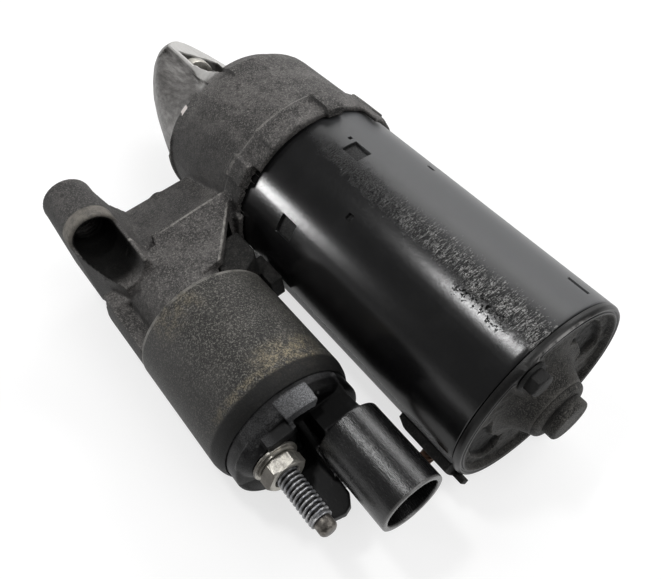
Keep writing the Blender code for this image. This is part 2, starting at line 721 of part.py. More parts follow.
def reduction_gear():
    case_bore = CENTRE_BUSH_RADIUS + FIT
    bowl = CARRIER_RADIUS + RUN
    profile = [(CASE_FRONT, case_bore), (CASE_FRONT, CASE_RADIUS - 3.5), (CASE_FRONT + 3.0, CASE_RADIUS),
               (CASE_REAR, CASE_RADIUS), (CASE_REAR, bowl), (CARRIER_FRONT - RUN, bowl),
               (CARRIER_FRONT - RUN, case_bore)]
    case = make("ring_gear", turned(profile, closed=True), "gear_plastic")
    gaps = gear_outline(RING_TEETH, MODULE, -TOOTH_SLACK, DEDENDUM, ADDENDUM, ring_phase())
    cut(case, along_x(gaps, CARRIER_REAR - SLIP, CASE_REAR + 1.0))
    bolt_notches(case, CASE_FRONT - 1.0, CASE_REAR + 1.0)
    make("centre_bush",
         tube(CASE_FRONT, CARRIER_FRONT - RUN, CENTRE_BUSH_RADIUS, OUTPUT_RADIUS + FIT, SMALL_STEPS),
         "bronze")
    front = CASE_REAR + FIT
    cover = make("gear_cover", tube(front, front + GEAR_COVER, CASE_RADIUS, ARMATURE_SHAFT_RADIUS + 2.0),
                 "grey_steel")
    bolt_notches(cover, front - 1.0, front + GEAR_COVER + 1.0)
    for i, angle in enumerate(planet_angles()):
        outline = gear_outline(PLANET_TEETH, MODULE, TOOTH_SLACK)
        centre = (0.0, PLANET_CIRCLE * math.cos(angle), PLANET_CIRCLE * math.sin(angle))
        turn = math.degrees(planet_phase(angle))
        planet = make(f"planet_gear_{i + 1}", along_x(outline, PLANET_FRONT, PLANET_REAR), "hard_steel",
                      centre, turn)
        bore = turned([(PLANET_FRONT - 1.0, PIN_RADIUS + FIT), (PLANET_REAR + 1.0, PIN_RADIUS + FIT)],
                      SMALL_STEPS)
        cut(planet, bore, centre)


def planet_carrier():
    """Carrier disc with its planet pins and the output shaft in one piece."""
    tip = NOSE_BUSH_FRONT
    pilot = CARRIER_FRONT - PILOT_LENGTH / 2 - FIT
    profile = [(tip, NOSE_JOURNAL_RADIUS - 0.6), (tip + 0.6, NOSE_JOURNAL_RADIUS),
               (STOP_REAR + SLIP, NOSE_JOURNAL_RADIUS), (STOP_REAR + SLIP, OUTPUT_RADIUS),
               (CARRIER_FRONT, OUTPUT_RADIUS), (CARRIER_FRONT, CARRIER_RADIUS), (CARRIER_REAR,
                                                                                 CARRIER_RADIUS)]
    carrier = make("planet_carrier", turned(profile, MEDIUM_STEPS), "hard_steel")
    cut(carrier,
        turned([(pilot, PILOT_RADIUS + FIT), (CARRIER_REAR + 1.0, PILOT_RADIUS + FIT)], SMALL_STEPS))
    for angle in planet_angles():
        centre = (PLANET_CIRCLE * math.cos(angle), PLANET_CIRCLE * math.sin(angle))
        pin = turned([(CARRIER_FRONT + 1.0, PIN_RADIUS), (PLANET_REAR, PIN_RADIUS)], SMALL_STEPS,
                     centre=centre)
        fuse(carrier, pin)


def clutch_and_pinion():
    bore = OUTPUT_RADIUS + FIT
    lip = PINION_NECK_RADIUS + RUN
    flange = CLUTCH_REAR - SLEEVE_FLANGE
    room = CLUTCH_RADIUS - CLUTCH_WALL
    profile = [(CLUTCH_FRONT, lip), (CLUTCH_FRONT, CLUTCH_RADIUS - 1.0),
               (CLUTCH_FRONT + 1.0, CLUTCH_RADIUS),
               (CLUTCH_BACK - 1.0, CLUTCH_RADIUS), (CLUTCH_BACK, CLUTCH_RADIUS - 1.0), (CLUTCH_BACK,
                                                                                        SLEEVE_RADIUS),
               (flange, SLEEVE_RADIUS), (flange, SLEEVE_FLANGE_RADIUS), (CLUTCH_REAR, SLEEVE_FLANGE_RADIUS),
               (CLUTCH_REAR, bore), (CLUTCH_BACK - CLUTCH_WALL, bore), (CLUTCH_BACK - CLUTCH_WALL, room),
               (CLUTCH_FRONT + CLUTCH_WALL, room), (CLUTCH_FRONT + CLUTCH_WALL, lip)]
    make("drive_clutch", turned(profile, MEDIUM_STEPS, closed=True), "grey_steel")
    outline = gear_outline(PINION_TEETH, PINION_MODULE, TOOTH_SLACK, 1.0, 1.1, fine=True)
    rear = PINION_FRONT + PINION_LENGTH
    race = CLUTCH_FRONT + CLUTCH_WALL + RUN
    end = CLUTCH_BACK - CLUTCH_WALL - RUN
    body = [(rear - 1.0, PINION_NECK_RADIUS), (race, PINION_NECK_RADIUS), (race, RACE_RADIUS),
            (end, RACE_RADIUS)]
    pinion = make("pinion", turned(body, MEDIUM_STEPS), "hard_steel")
    fuse(pinion, along_x(outline, PINION_FRONT, rear))
    cut(pinion, turned([(PINION_FRONT - 1.0, bore), (end + 1.0, bore)], MEDIUM_STEPS))
    stop = tube(STOP_REAR - STOP_LENGTH, STOP_REAR - SLIP, STOP_RADIUS, NOSE_JOURNAL_RADIUS + SLIP,
                MEDIUM_STEPS)
    make("stop_collar", stop, "zinc_steel")
    bush = tube(NOSE_BUSH_FRONT, NOSE_BUSH_FRONT + NOSE_BUSH_LENGTH, NOSE_BUSH_RADIUS,
                NOSE_JOURNAL_RADIUS + FIT,
                SMALL_STEPS)
    make("nose_bush", bush, "bronze")


def drive_housing():
    collar_rear = YOKE_FRONT + COLLAR_COVER
    collar_front = collar_rear - COLLAR_LENGTH
    # Nose outline as shares of its length and of the drum radius, from the tip back to the drum
    nose = ((0.0, 0.07), (0.025, 0.15), (0.09, 0.26), (0.19, 0.395), (0.30, 0.515), (0.42, 0.63),
            (0.58, 0.75),
            (0.79, 0.88), (0.95, 0.97), (1.03, 0.995))
    profile = [(NOSE_TIP + a * NOSE_LENGTH, b * DRUM_RADIUS) for a, b in nose]
    profile += [(collar_front - 1.5, DRUM_RADIUS + 0.6), (collar_front, COLLAR_RADIUS),
                (collar_rear, COLLAR_RADIUS)]
    housing = make("drive_housing", turned(profile), "cast_aluminium")
    add_arm_and_web(housing)
    add_mounting_eye(housing)
    add_lower_ear(housing)
    add_collar_lugs(housing, collar_front, collar_rear)
    add_solenoid_seat(housing)
    cut_bell(housing)
    cut_lever_room(housing)
    cut_fixings(housing)


def add_arm_and_web(housing):
    front = SEAT_X - ARM_FRONT
    web_front = SEAT_X + 1.5
    web_rear = web_front + WEB_LENGTH
    arm = [(front, ARM_BOTTOM), (front, ARM_FRONT_TOP), (web_front, ARM_REAR_TOP),
           (web_front + 5.0, ARM_REAR_TOP),
           (web_front + 5.0, ARM_BOTTOM)]
    fuse(housing, along_y(arm, BOSS_Y + 2.0, -YOKE_RADIUS + 12.0))
    roof = [(web_front, SOLENOID_Y + 2.0), (web_front, -YOKE_RADIUS + 5.0),
            (web_front + 7.0, -YOKE_RADIUS - 0.6),
            (web_rear, LEVER_PIVOT_Y - 13.0), (web_rear, SOLENOID_Y + 2.5)]
    fuse(housing, along_z(roof, WEB_BOTTOM, ROOF_HEIGHT))


def add_mounting_eye(housing):
    mouth = EYE_FRONT + EYE_LENGTH
    tail = mouth + TROUGH_LENGTH
    eye = [(EYE_FRONT, EYE_RADIUS - 1.8), (EYE_FRONT + 1.8, EYE_RADIUS), (tail, EYE_RADIUS)]
    fuse(housing, turned(eye, MEDIUM_STEPS, centre=(BOSS_Y, BOSS_Z)))
    pillar = [(BOSS_Y - EYE_RADIUS + SLIP, BOSS_Z), (BOSS_Y - EYE_RADIUS + SLIP, ARM_BOTTOM + 8.0),
              (BOSS_Y + 6.0, ARM_BOTTOM + SLIP), (BOSS_Y + 19.0, ARM_FRONT_TOP), (BOSS_Y + 13.0,
                                                                                  BOSS_Z - 11.0),
              (BOSS_Y + EYE_RADIUS - SLIP, BOSS_Z)]
    fuse(housing, along_x(pillar, EYE_FRONT + 3.0, tail - SLIP))


def add_lower_ear(housing):
    rear = EYE_FRONT + EAR_THICKNESS
    spread = math.degrees(math.atan2(EAR_Z, EAR_Y))
    reach = math.hypot(EAR_Y, EAR_Z)
    ear = [(EYE_FRONT, EAR_RADIUS - 1.0), (EYE_FRONT + 1.0, EAR_RADIUS), (rear, EAR_RADIUS)]
    fuse(housing, turned(ear, MEDIUM_STEPS, centre=(EAR_Y, EAR_Z)))
    web = block((EYE_FRONT + 1.0, rear - SLIP), (DRUM_RADIUS - 10.0, reach), (-EAR_WEB / 2, EAR_WEB / 2))
    fuse(housing, turn_about_x(web, spread))


def add_collar_lugs(housing, front, rear):
    # Lugs on the collar: angle, half width and height above it
    lugs = ((136.0, 4.5, 2.2), (37.0, 4.0, 0.4), (BOLT_ANGLE - 6.0, 7.0, 1.0))
    for angle, half, rise in lugs:
        lug = block((front - 1.2, rear - SLIP), (DRUM_RADIUS - 4.0, COLLAR_RADIUS + rise), (-half, half))
        fuse(housing, turn_about_x(lug, angle))


def add_solenoid_seat(housing):
    centre = (SOLENOID_Y, 0.0)
    rear = SOLENOID_FRONT - FIT
    outer = CHAMBER_RADIUS + CHAMBER_WALL
    front = NECK_FRONT - PLUNGER_HEAD - 4.0
    chamber = [(front, PLUNGER_HEAD_RADIUS + 3.0), (SEAT_FRONT + 0.5, PLUNGER_HEAD_RADIUS + 4.0),
               (SEAT_FRONT + 1.0, outer),
               (rear - SLIP, outer)]
    fuse(housing, turned(chamber, MEDIUM_STEPS, centre=centre))
    rise = math.degrees(math.asin(SEAT_TOP / SEAT_RADIUS))
    lower = arc(SEAT_RADIUS - 3.0, 180.0 - rise, 340.0, 22, centre)
    full = arc(SEAT_RADIUS, 180.0 - rise, 340.0, 22, centre)
    seat = loft([at_x(lower, SEAT_FRONT), at_x(full, SEAT_FRONT + 3.0), at_x(full, rear)])
    fuse(housing, seat)


def cut_bell(housing):
    collar = YOKE_RADIUS + FIT
    shoulder = YOKE_FRONT - FIT
    gate = CLUTCH_RADIUS + 3.0
    wide = DRUM_RADIUS - DRUM_WALL
    bush = NOSE_BUSH_FRONT - FIT
    profile = [(YOKE_FRONT + COLLAR_COVER + 1.0, collar), (shoulder, collar), (shoulder, CASE_RADIUS + FIT),
               (SEAT_X, CASE_RADIUS + FIT), (SEAT_X, gate), (SEAT_X - BOLT_GRIP - 3.0, gate),
               (SEAT_X - BOLT_GRIP - 5.0, wide), (CLUTCH_ROOM + 7.0, wide), (CLUTCH_ROOM,
                                                                             CLUTCH_RADIUS + 1.0),
               (CLUTCH_ROOM - SLIP, PINION_BORE), (WINDOW_FRONT, PINION_BORE),
               (WINDOW_FRONT - SLIP, NOSE_BUSH_RADIUS + FIT), (bush, NOSE_BUSH_RADIUS + FIT)]
    cut(housing, turned(profile))
    flat = block((NOSE_TIP - 5.0, DRUM_FRONT), (NOSE_FLAT, 2 * DRUM_RADIUS),
                 (-2 * DRUM_RADIUS, 2 * DRUM_RADIUS))
    cut(housing, turn_about_x(flat, NOSE_FLAT_ANGLE))


def cut_lever_room(housing):
    centre = (SOLENOID_Y, 0.0)
    narrow = LEVER_HALF_WIDTH + 0.7
    wide = FORK_HALF_WIDTH + 0.6
    sweep_front = LEVER_PIVOT_X - 11.2
    cut(housing,
        block((sweep_front, YOKE_FRONT - 0.6), (LEVER_PIVOT_Y - 9.0, -DRUM_RADIUS + 8.0),
              (-narrow, narrow)))
    cut(housing,
        block((FORK_X - DRIVE_TRAVEL - 6.0, SEAT_X - SLIP), (-DRUM_RADIUS + 3.6, -14.0), (-wide, wide)))
    passage = block((NECK_FRONT - 2.0, TINE_X + 14.0), (SOLENOID_Y - 5.0, LEVER_PIVOT_Y - 3.0),
                    (-narrow, narrow))
    cut(housing, passage)
    head = PLUNGER_HEAD_RADIUS + 1.5
    front = NECK_FRONT - PLUNGER_HEAD - 1.0
    collar = NECK_REAR - 1.5
    chamber = [(front, head), (collar, head), (collar, CHAMBER_RADIUS),
               (SOLENOID_FRONT + 1.0, CHAMBER_RADIUS)]
    cut(housing, turned(chamber, MEDIUM_STEPS, centre=centre))
    seal = block((YOKE_FRONT + 0.4, SOLENOID_FRONT), (LEVER_PIVOT_Y - 15.0, SEAL_Y),
                 (WEB_BOTTOM + ROOF_WALL, ROOF_HEIGHT - ROOF_WALL))
    cut(housing, seal)
    # The underside is clear of the ground line of the yoke, so the yoke and the solenoid carry the weight
    ground = math.degrees(-TILT)
    rear = YOKE_FRONT + COLLAR_COVER + 1.0
    open_side = block((YOKE_FRONT - FIT, rear), (-YOKE_RADIUS, YOKE_RADIUS),
                      (-2 * YOKE_RADIUS, -0.72 * YOKE_RADIUS))
    cut(housing, turn_about_x(open_side, ground))
    flat = block((DRUM_FRONT - 5.0, rear), (-YOKE_RADIUS, YOKE_RADIUS),
                 (-2 * YOKE_RADIUS, -YOKE_RADIUS + SLIP))
    cut(housing, turn_about_x(flat, ground))


def taper_trough(housing, start, stop):
    """Draw the outer wall of the bolt trough in towards the rear, at full height in front of the seat."""
    wall = BOSS_Y - EYE_RADIUS
    slope = TROUGH_TAPER / (stop - start)
    step = SEAT_FRONT - SLIP
    for front, rear, low in ((start, step, ARM_BOTTOM - 1.0), (step, stop, SEAT_TOP + SLIP)):
        outline = [(front, wall - 2.0), (rear, wall - 2.0), (rear, wall + slope * (rear - start)),
                   (front, wall + slope * (front - start))]
        cut(housing, along_z(outline, low, BOSS_Z + 1.0))


def cut_fixings(housing):
    mouth = EYE_FRONT + EYE_LENGTH
    eye = (BOSS_Y, BOSS_Z)
    bore = [(EYE_FRONT - 2.0, EYE_BORE), (mouth - 2.4, EYE_BORE), (mouth, TROUGH_RADIUS - 0.4),
            (mouth + SLIP, TROUGH_RADIUS), (mouth + TROUGH_LENGTH + 12.0, TROUGH_RADIUS)]
    cut(housing, turned(bore, SMALL_STEPS, centre=eye))
    half = EYE_RADIUS + 2.0
    cut(housing,
        block((mouth, mouth + TROUGH_LENGTH + 12.0), (BOSS_Y - half, BOSS_Y + half),
              (BOSS_Z, BOSS_Z + half)))
    taper_trough(housing, mouth + 7.0, mouth + TROUGH_LENGTH + 1.0)
    hole = [(EYE_FRONT - 2.0, EAR_BORE), (EYE_FRONT + EAR_THICKNESS + 2.0, EAR_BORE)]
    cut(housing, turned(hole, SMALL_STEPS, centre=(EAR_Y, EAR_Z)))
    for point in bolt_points():
        thread = [(SEAT_X - BOLT_GRIP - FIT, BOLT_RADIUS + FIT), (SEAT_X + 12.0, BOLT_RADIUS + FIT)]
        cut(housing, turned(thread, SMALL_STEPS, centre=point))
    for angle in SCREW_ANGLES:
        y, z = polar(SCREW_CIRCLE, angle)
        hole = [(SEAT_FRONT - 1.0, SCREW_RADIUS + FIT), (SOLENOID_FRONT + 1.0, SCREW_RADIUS + FIT)]
        cut(housing, turned(hole, SMALL_STEPS, centre=(SOLENOID_Y + y, z)))
    pin = LEVER_PIN_RADIUS + FIT
    reach = LEVER_PIN_REACH + FIT
    outline = [(x + LEVER_PIVOT_X, y + LEVER_PIVOT_Y) for x, y in arc(pin, 0.0, 342.0, 19)]
    cut(housing, along_z(outline, -reach, reach))


def fork_lever():
    """Lever about its pivot: a fork in the clutch groove below and two tines at the plunger neck above."""
    half = LEVER_THICKNESS / 2
    fork = -LEVER_PIVOT_Y
    bridge = (-DRUM_RADIUS + 5.4 - LEVER_PIVOT_Y, -DRUM_RADIUS + 11.4 - LEVER_PIVOT_Y)
    tine = SOLENOID_Y - LEVER_PIVOT_Y
    lean = math.tan(LEVER_LEAN)
    at = (LEVER_PIVOT_X, LEVER_PIVOT_Y, 0.0)

    def bar(low, high, grow=0.0):
        wide = half + grow
        ends = ((-wide, low), (wide, low), (wide, high), (-wide, high))
        return [(x - lean * y, y) for x, y in ends]

    boss = along_z(arc(LEVER_BOSS_RADIUS, 0.0, 340.0, 17), -LEVER_HALF_WIDTH, LEVER_HALF_WIDTH)
    lever = make("fork_lever", boss, "grey_steel", at)
    middle = LEVER_HALF_WIDTH - SLIP
    fuse(lever, along_z(bar(tine + 12.0, bridge[1] - 1.0), -middle, middle), at)
    fuse(lever, along_z(bar(*bridge, 2 * SLIP), -FORK_HALF_WIDTH, FORK_HALF_WIDTH), at)
    for side in (-1, 1):
        arm = sorted((side * (FORK_HALF_WIDTH - FORK_ARM), side * (FORK_HALF_WIDTH - SLIP)))
        fuse(lever, along_z(bar(bridge[0] + 1.0, fork, -SLIP), *arm), at)
        shoe = [(x - lean * fork, y + fork) for x, y in arc(SHOE_RADIUS, 0.0, 340.0, 17)]
        arm = sorted((side * (FORK_HALF_WIDTH - FORK_ARM - SLIP), side * FORK_HALF_WIDTH))
        fuse(lever, along_z(shoe, *arm), at)
        prong = sorted((side * TINE_INNER, side * (middle - SLIP)))
        fuse(lever, along_z(bar(tine, tine + 14.0, -6 * SLIP), *prong), at)
        tip = [(x - lean * tine, y + tine) for x, y in arc(TINE_RADIUS, 0.0, 337.5, 15)]
        prong = sorted((side * (TINE_INNER - SLIP), side * (middle - 2 * SLIP)))
        fuse(lever, along_z(tip, *prong), at)
    cut(lever,
        along_z(arc(LEVER_PIN_RADIUS + FIT, 0.0, 342.0, 19), -LEVER_HALF_WIDTH - 1.0,
                LEVER_HALF_WIDTH + 1.0), at)
    pin = along_z(arc(LEVER_PIN_RADIUS, 0.0, 342.0, 19), -LEVER_PIN_REACH, LEVER_PIN_REACH)
    make("lever_pin", pin, "hard_steel", at)


def lever_seal():
    """Rubber block that closes the gap behind the lever, with a tail between yoke and solenoid."""
    front = YOKE_FRONT + 12.0
    rear = SOLENOID_FRONT - FIT - SLIP
    near = SEAL_Y - FIT
    far = LEVER_PIVOT_Y - 15.0 + FIT
    outline = [(front, far), (front, near), (front + 12.0, near), (rear - 3.5, near - 2.0),
               (rear, near - 8.0),
               (rear, far)]
    seal = make("lever_seal", along_z(outline, WEB_BOTTOM + ROOF_WALL + FIT, ROOF_HEIGHT - ROOF_WALL - FIT),
                "rubber")
    gap = (SOLENOID_Y + SOLENOID_RADIUS + 2 * RUN, -YOKE_RADIUS - 2 * RUN)
    fuse(seal, block((front + 8.0, SOLENOID_FRONT + SEAL_TAIL), gap, (-SEAL_TAIL_HEIGHT, SEAL_TAIL_HEIGHT)))


def solenoid():
    at = (0.0, SOLENOID_Y, 0.0)
    inner = SOLENOID_RADIUS - CAN_WALL
    roll = SOLENOID_REAR - CAN_ROLL
    bore = PLUNGER_RADIUS + FIT
    lip = CAP_RADIUS + FIT
    can = [(SOLENOID_FRONT, bore), (SOLENOID_FRONT, SOLENOID_RADIUS - 0.8),
           (SOLENOID_FRONT + 0.8, SOLENOID_RADIUS),
           (roll, SOLENOID_RADIUS), (roll + 0.55 * CAN_ROLL, SOLENOID_RADIUS - 0.5),
           (roll + 0.85 * CAN_ROLL, SOLENOID_RADIUS - 1.1), (SOLENOID_REAR, SOLENOID_RADIUS - 1.6),
           (SOLENOID_REAR, lip), (BOBBIN_FRONT - FIT, inner), (BOBBIN_FRONT - FIT, bore)]
    shell = make("solenoid_can", turned(can, closed=True), "grey_steel", at)
    for angle in SCREW_ANGLES:
        centre = polar(SCREW_CIRCLE, angle)
        cut(shell,
            turned([(SOLENOID_FRONT - 1.0, SCREW_RADIUS + SLIP),
                    (SOLENOID_FRONT + 3.0, SCREW_RADIUS + SLIP)],
                          SMALL_STEPS, centre=centre), at)
    tube_radius = bore + 1.4
    flange = inner - FIT
    bobbin = [(BOBBIN_FRONT, bore), (BOBBIN_FRONT, flange), (BOBBIN_FRONT + BOBBIN_FLANGE, flange),
              (BOBBIN_FRONT + BOBBIN_FLANGE, tube_radius), (BOBBIN_REAR - BOBBIN_FLANGE, tube_radius),
              (BOBBIN_REAR - BOBBIN_FLANGE, flange), (BOBBIN_REAR, flange), (BOBBIN_REAR, bore)]
    make("coil_bobbin", turned(bobbin, MEDIUM_STEPS, closed=True), "gear_plastic", at)
    coil = tube(BOBBIN_FRONT + BOBBIN_FLANGE + FIT, BOBBIN_REAR - BOBBIN_FLANGE - FIT, COIL_RADIUS,
                tube_radius + FIT, MEDIUM_STEPS)
    make("coil_winding", coil, "copper", at)
    rod_bore = ROD_RADIUS + FIT
    core = [(CORE_FRONT - CORE_NOSE, rod_bore), (CORE_FRONT - CORE_NOSE, PLUNGER_RADIUS),
            (CORE_FRONT, PLUNGER_RADIUS),
            (CORE_FRONT, flange), (CORE_REAR, flange), (CORE_REAR, rod_bore)]
    make("solenoid_core", turned(core, MEDIUM_STEPS, closed=True), "grey_steel", at)
    plunger(at)
    contacts(at)
    for i, angle in enumerate(SCREW_ANGLES):
        y, z = polar(SCREW_CIRCLE, angle)
        seat = SEAT_FRONT - FIT
        screw = [(seat - SCREW_HEAD, SCREW_HEAD_RADIUS), (seat, SCREW_HEAD_RADIUS),
                 (seat, SCREW_RADIUS - SLIP),
                 (SOLENOID_FRONT + 2.6, SCREW_RADIUS - SLIP)]
        make(f"solenoid_screw_{i + 1}", turned(screw, SMALL_STEPS), "zinc_steel", (0.0, SOLENOID_Y + y, z))


def plunger(at):
    head = NECK_FRONT - PLUNGER_HEAD
    collar = NECK_REAR + PLUNGER_COLLAR
    profile = [(head, PLUNGER_HEAD_RADIUS), (NECK_FRONT, PLUNGER_HEAD_RADIUS),
               (NECK_FRONT, PLUNGER_NECK_RADIUS),
               (NECK_REAR, PLUNGER_NECK_RADIUS), (NECK_REAR, PLUNGER_COLLAR_RADIUS), (collar,
                                                                                      PLUNGER_COLLAR_RADIUS),
               (collar, PLUNGER_RADIUS), (PLUNGER_REAR, PLUNGER_RADIUS)]
    make("plunger", turned(profile, MEDIUM_STEPS), "zinc_steel", at)
    radius = (PLUNGER_RADIUS + PLUNGER_COLLAR_RADIUS) / 2
    path = helix(collar + FIT, SOLENOID_FRONT - FIT, radius, RETURN_TURNS, RETURN_WIRE)
    make("return_spring", sweep(path, RETURN_WIRE, 4), "hard_steel", at)
    print_least_gap("return_spring", path, RETURN_WIRE)


def contacts(at):
    front = BRIDGE_REAR - BRIDGE_THICKNESS
    disc = math.hypot(STUD_Y, STUD_Z) + BRIDGE_LAP
    rod = [(CORE_FRONT + 0.5, ROD_RADIUS), (front, ROD_RADIUS), (front, disc), (BRIDGE_REAR, disc)]
    make("contact_bridge", turned(rod, MEDIUM_STEPS), "copper", at)
    path = helix(BRIDGE_REAR + FIT, CAP_FLOOR - FIT, ROD_RADIUS + 1.2, CONTACT_TURNS, CONTACT_WIRE)
    make("contact_spring", sweep(path, CONTACT_WIRE, 4), "hard_steel", at)
    print_least_gap("contact_spring", path, CONTACT_WIRE)


def terminal_cap():
    at = (0.0, SOLENOID_Y, 0.0)
    room = CAP_RADIUS - CAP_WALL
    rim = CAP_REAR + CAP_DRUM
    cup = turned([(CAP_FRONT, CAP_RADIUS), (CAP_REAR - 0.6, CAP_RADIUS), (CAP_REAR, CAP_RADIUS - 0.6)])
    cap = make("solenoid_cap", cup, "black_plastic", at)
    # Raised rims round the terminal recess: start angle, end angle and how far each stands up
    rims = ((62.0, 101.0, 0.4), (134.0, 210.0, 0.5), (210.5, 256.0, 0.4))
    for start, stop, share in rims:
        outline = arc(CAP_RADIUS, start, stop, 10) + arc(CAP_RADIUS - CAP_RIM, stop, start, 10)
        fuse(cap, along_x(outline, CAP_REAR - 2.0, CAP_REAR + share * CAP_DRUM), at)
    shroud = (SHROUD_Y, SHROUD_Z)
    fuse(cap,
         turned([(SHROUD_FRONT, SHROUD_RADIUS), (SHROUD_END, SHROUD_RADIUS)], MEDIUM_STEPS, centre=shroud),
         at)
    saddle = block((CAP_REAR - 2.0, CAP_REAR + 5.0), (SHROUD_Y - 8.0, SHROUD_Y + 6.0),
                   (SHROUD_Z - 8.0, SHROUD_Z + 6.5))
    fuse(cap, saddle, at)
    add_separator(cap, at)
    bosses = ((STUD_Y, STUD_Z), (MOTOR_STUD_Y, MOTOR_STUD_Z))
    for centre in bosses:
        boss = turned([(CAP_REAR - 2.0, STUD_BOSS_RADIUS), (CAP_REAR + STUD_BOSS, STUD_BOSS_RADIUS)],
                      SMALL_STEPS,
                      centre=centre)
        fuse(cap, boss, at)
    cut(cap, turned([(CAP_FRONT - 1.0, room), (CAP_FLOOR, room)]), at)
    socket = turned([(CAP_REAR + SHROUD_FLOOR, SHROUD_RADIUS - SHROUD_WALL),
                     (SHROUD_END + 1.0, SHROUD_RADIUS - SHROUD_WALL)], MEDIUM_STEPS, centre=shroud)
    cut(cap, socket, at)
    for centre in bosses:
        hole = [(CAP_FLOOR - 1.0, STUD_RADIUS + FIT), (CAP_REAR + STUD_BOSS + 1.0, STUD_RADIUS + FIT)]
        cut(cap, turned(hole, SMALL_STEPS, centre=centre), at)
    blade_slot = block((CAP_FLOOR - 1.0, CAP_REAR + SHROUD_FLOOR + 1.0),
                       (SHROUD_Y - BLADE_WIDTH / 2 - FIT, SHROUD_Y + BLADE_WIDTH / 2 + FIT),
                       (SHROUD_Z - BLADE_THICKNESS / 2 - FIT, SHROUD_Z + BLADE_THICKNESS / 2 + FIT))
    cut(cap, blade_slot, at)
    blade = block((CAP_FLOOR - 1.0 + FIT, SHROUD_END - 10.0), (-BLADE_WIDTH / 2, BLADE_WIDTH / 2),
                  (-BLADE_THICKNESS / 2, BLADE_THICKNESS / 2))
    make("connector_blade", blade, "zinc_steel", (0.0, SOLENOID_Y + SHROUD_Y, SHROUD_Z))


def add_separator(cap, at):
    """Sloping wall between the main terminal and the connector shroud, and the low tab beside it."""
    edge = SHROUD_Y - SHROUD_RADIUS
    slope = [(CAP_REAR - 1.0, -4.0), (CAP_REAR - 1.0, 15.0), (CAP_REAR + 8.0, 17.0), (STUD_END - 6.0, 2.0),
             (STUD_END - 4.5, -6.0), (STUD_END - 7.5, -8.0), (MOTOR_STUD_END - 2.0, -5.0)]
    fuse(cap, along_y(slope, edge - WALL_THICKNESS, edge + 0.6), at)
    tab = block((CAP_REAR - 1.0, CAP_REAR + 4.0), (STUD_Y - 1.0, edge - WALL_THICKNESS + 0.5), (17.0, 20.5))
    fuse(cap, tab, at)


def terminals():
    seat = CAP_REAR + STUD_BOSS
    main = (0.0, SOLENOID_Y + STUD_Y, STUD_Z)
    stud = [(STUD_FRONT, STUD_HEAD_RADIUS), (STUD_FRONT + STUD_HEAD, STUD_HEAD_RADIUS),
            (STUD_FRONT + STUD_HEAD, STUD_RADIUS), (STUD_END - 4.5, STUD_RADIUS), (STUD_END - 4.0,
                                                                                   STUD_RADIUS - 0.8),
            (STUD_END - 0.8, STUD_RADIUS - 0.8), (STUD_END, STUD_RADIUS - 1.6)]
    make("battery_stud", turned(stud, SMALL_STEPS), "zinc_steel", main)
    washer = tube(seat + FIT, seat + FIT + WASHER, WASHER_RADIUS, STUD_RADIUS + FIT, MEDIUM_STEPS)
    make("battery_washer", washer, "zinc_steel", main)
    front = seat + 2 * FIT + WASHER
    nut = make("battery_nut", hexagon(front, front + NUT_HEIGHT, NUT_FLATS), "zinc_steel", main)
    cut(nut,
        turned([(front - 1.0, STUD_RADIUS + FIT), (front + NUT_HEIGHT + 1.0, STUD_RADIUS + FIT)],
               SMALL_STEPS), main)
    motor = (0.0, SOLENOID_Y + MOTOR_STUD_Y, MOTOR_STUD_Z)
    stud = [(STUD_FRONT, STUD_HEAD_RADIUS), (STUD_FRONT + STUD_HEAD, STUD_HEAD_RADIUS),
            (STUD_FRONT + STUD_HEAD, STUD_RADIUS), (MOTOR_STUD_END - 1.0, STUD_RADIUS),
            (MOTOR_STUD_END, STUD_RADIUS - 1.0)]
    make("motor_stud", turned(stud, SMALL_STEPS), "zinc_steel", motor)
    front = seat + 2 * FIT + LUG_THICKNESS
    nut = make("motor_nut", hexagon(front, front + NUT_HEIGHT, NUT_FLATS), "zinc_steel", motor)
    cut(nut,
        turned([(front - 1.0, STUD_RADIUS + FIT), (front + NUT_HEIGHT + 1.0, STUD_RADIUS + FIT)],
               SMALL_STEPS), motor)


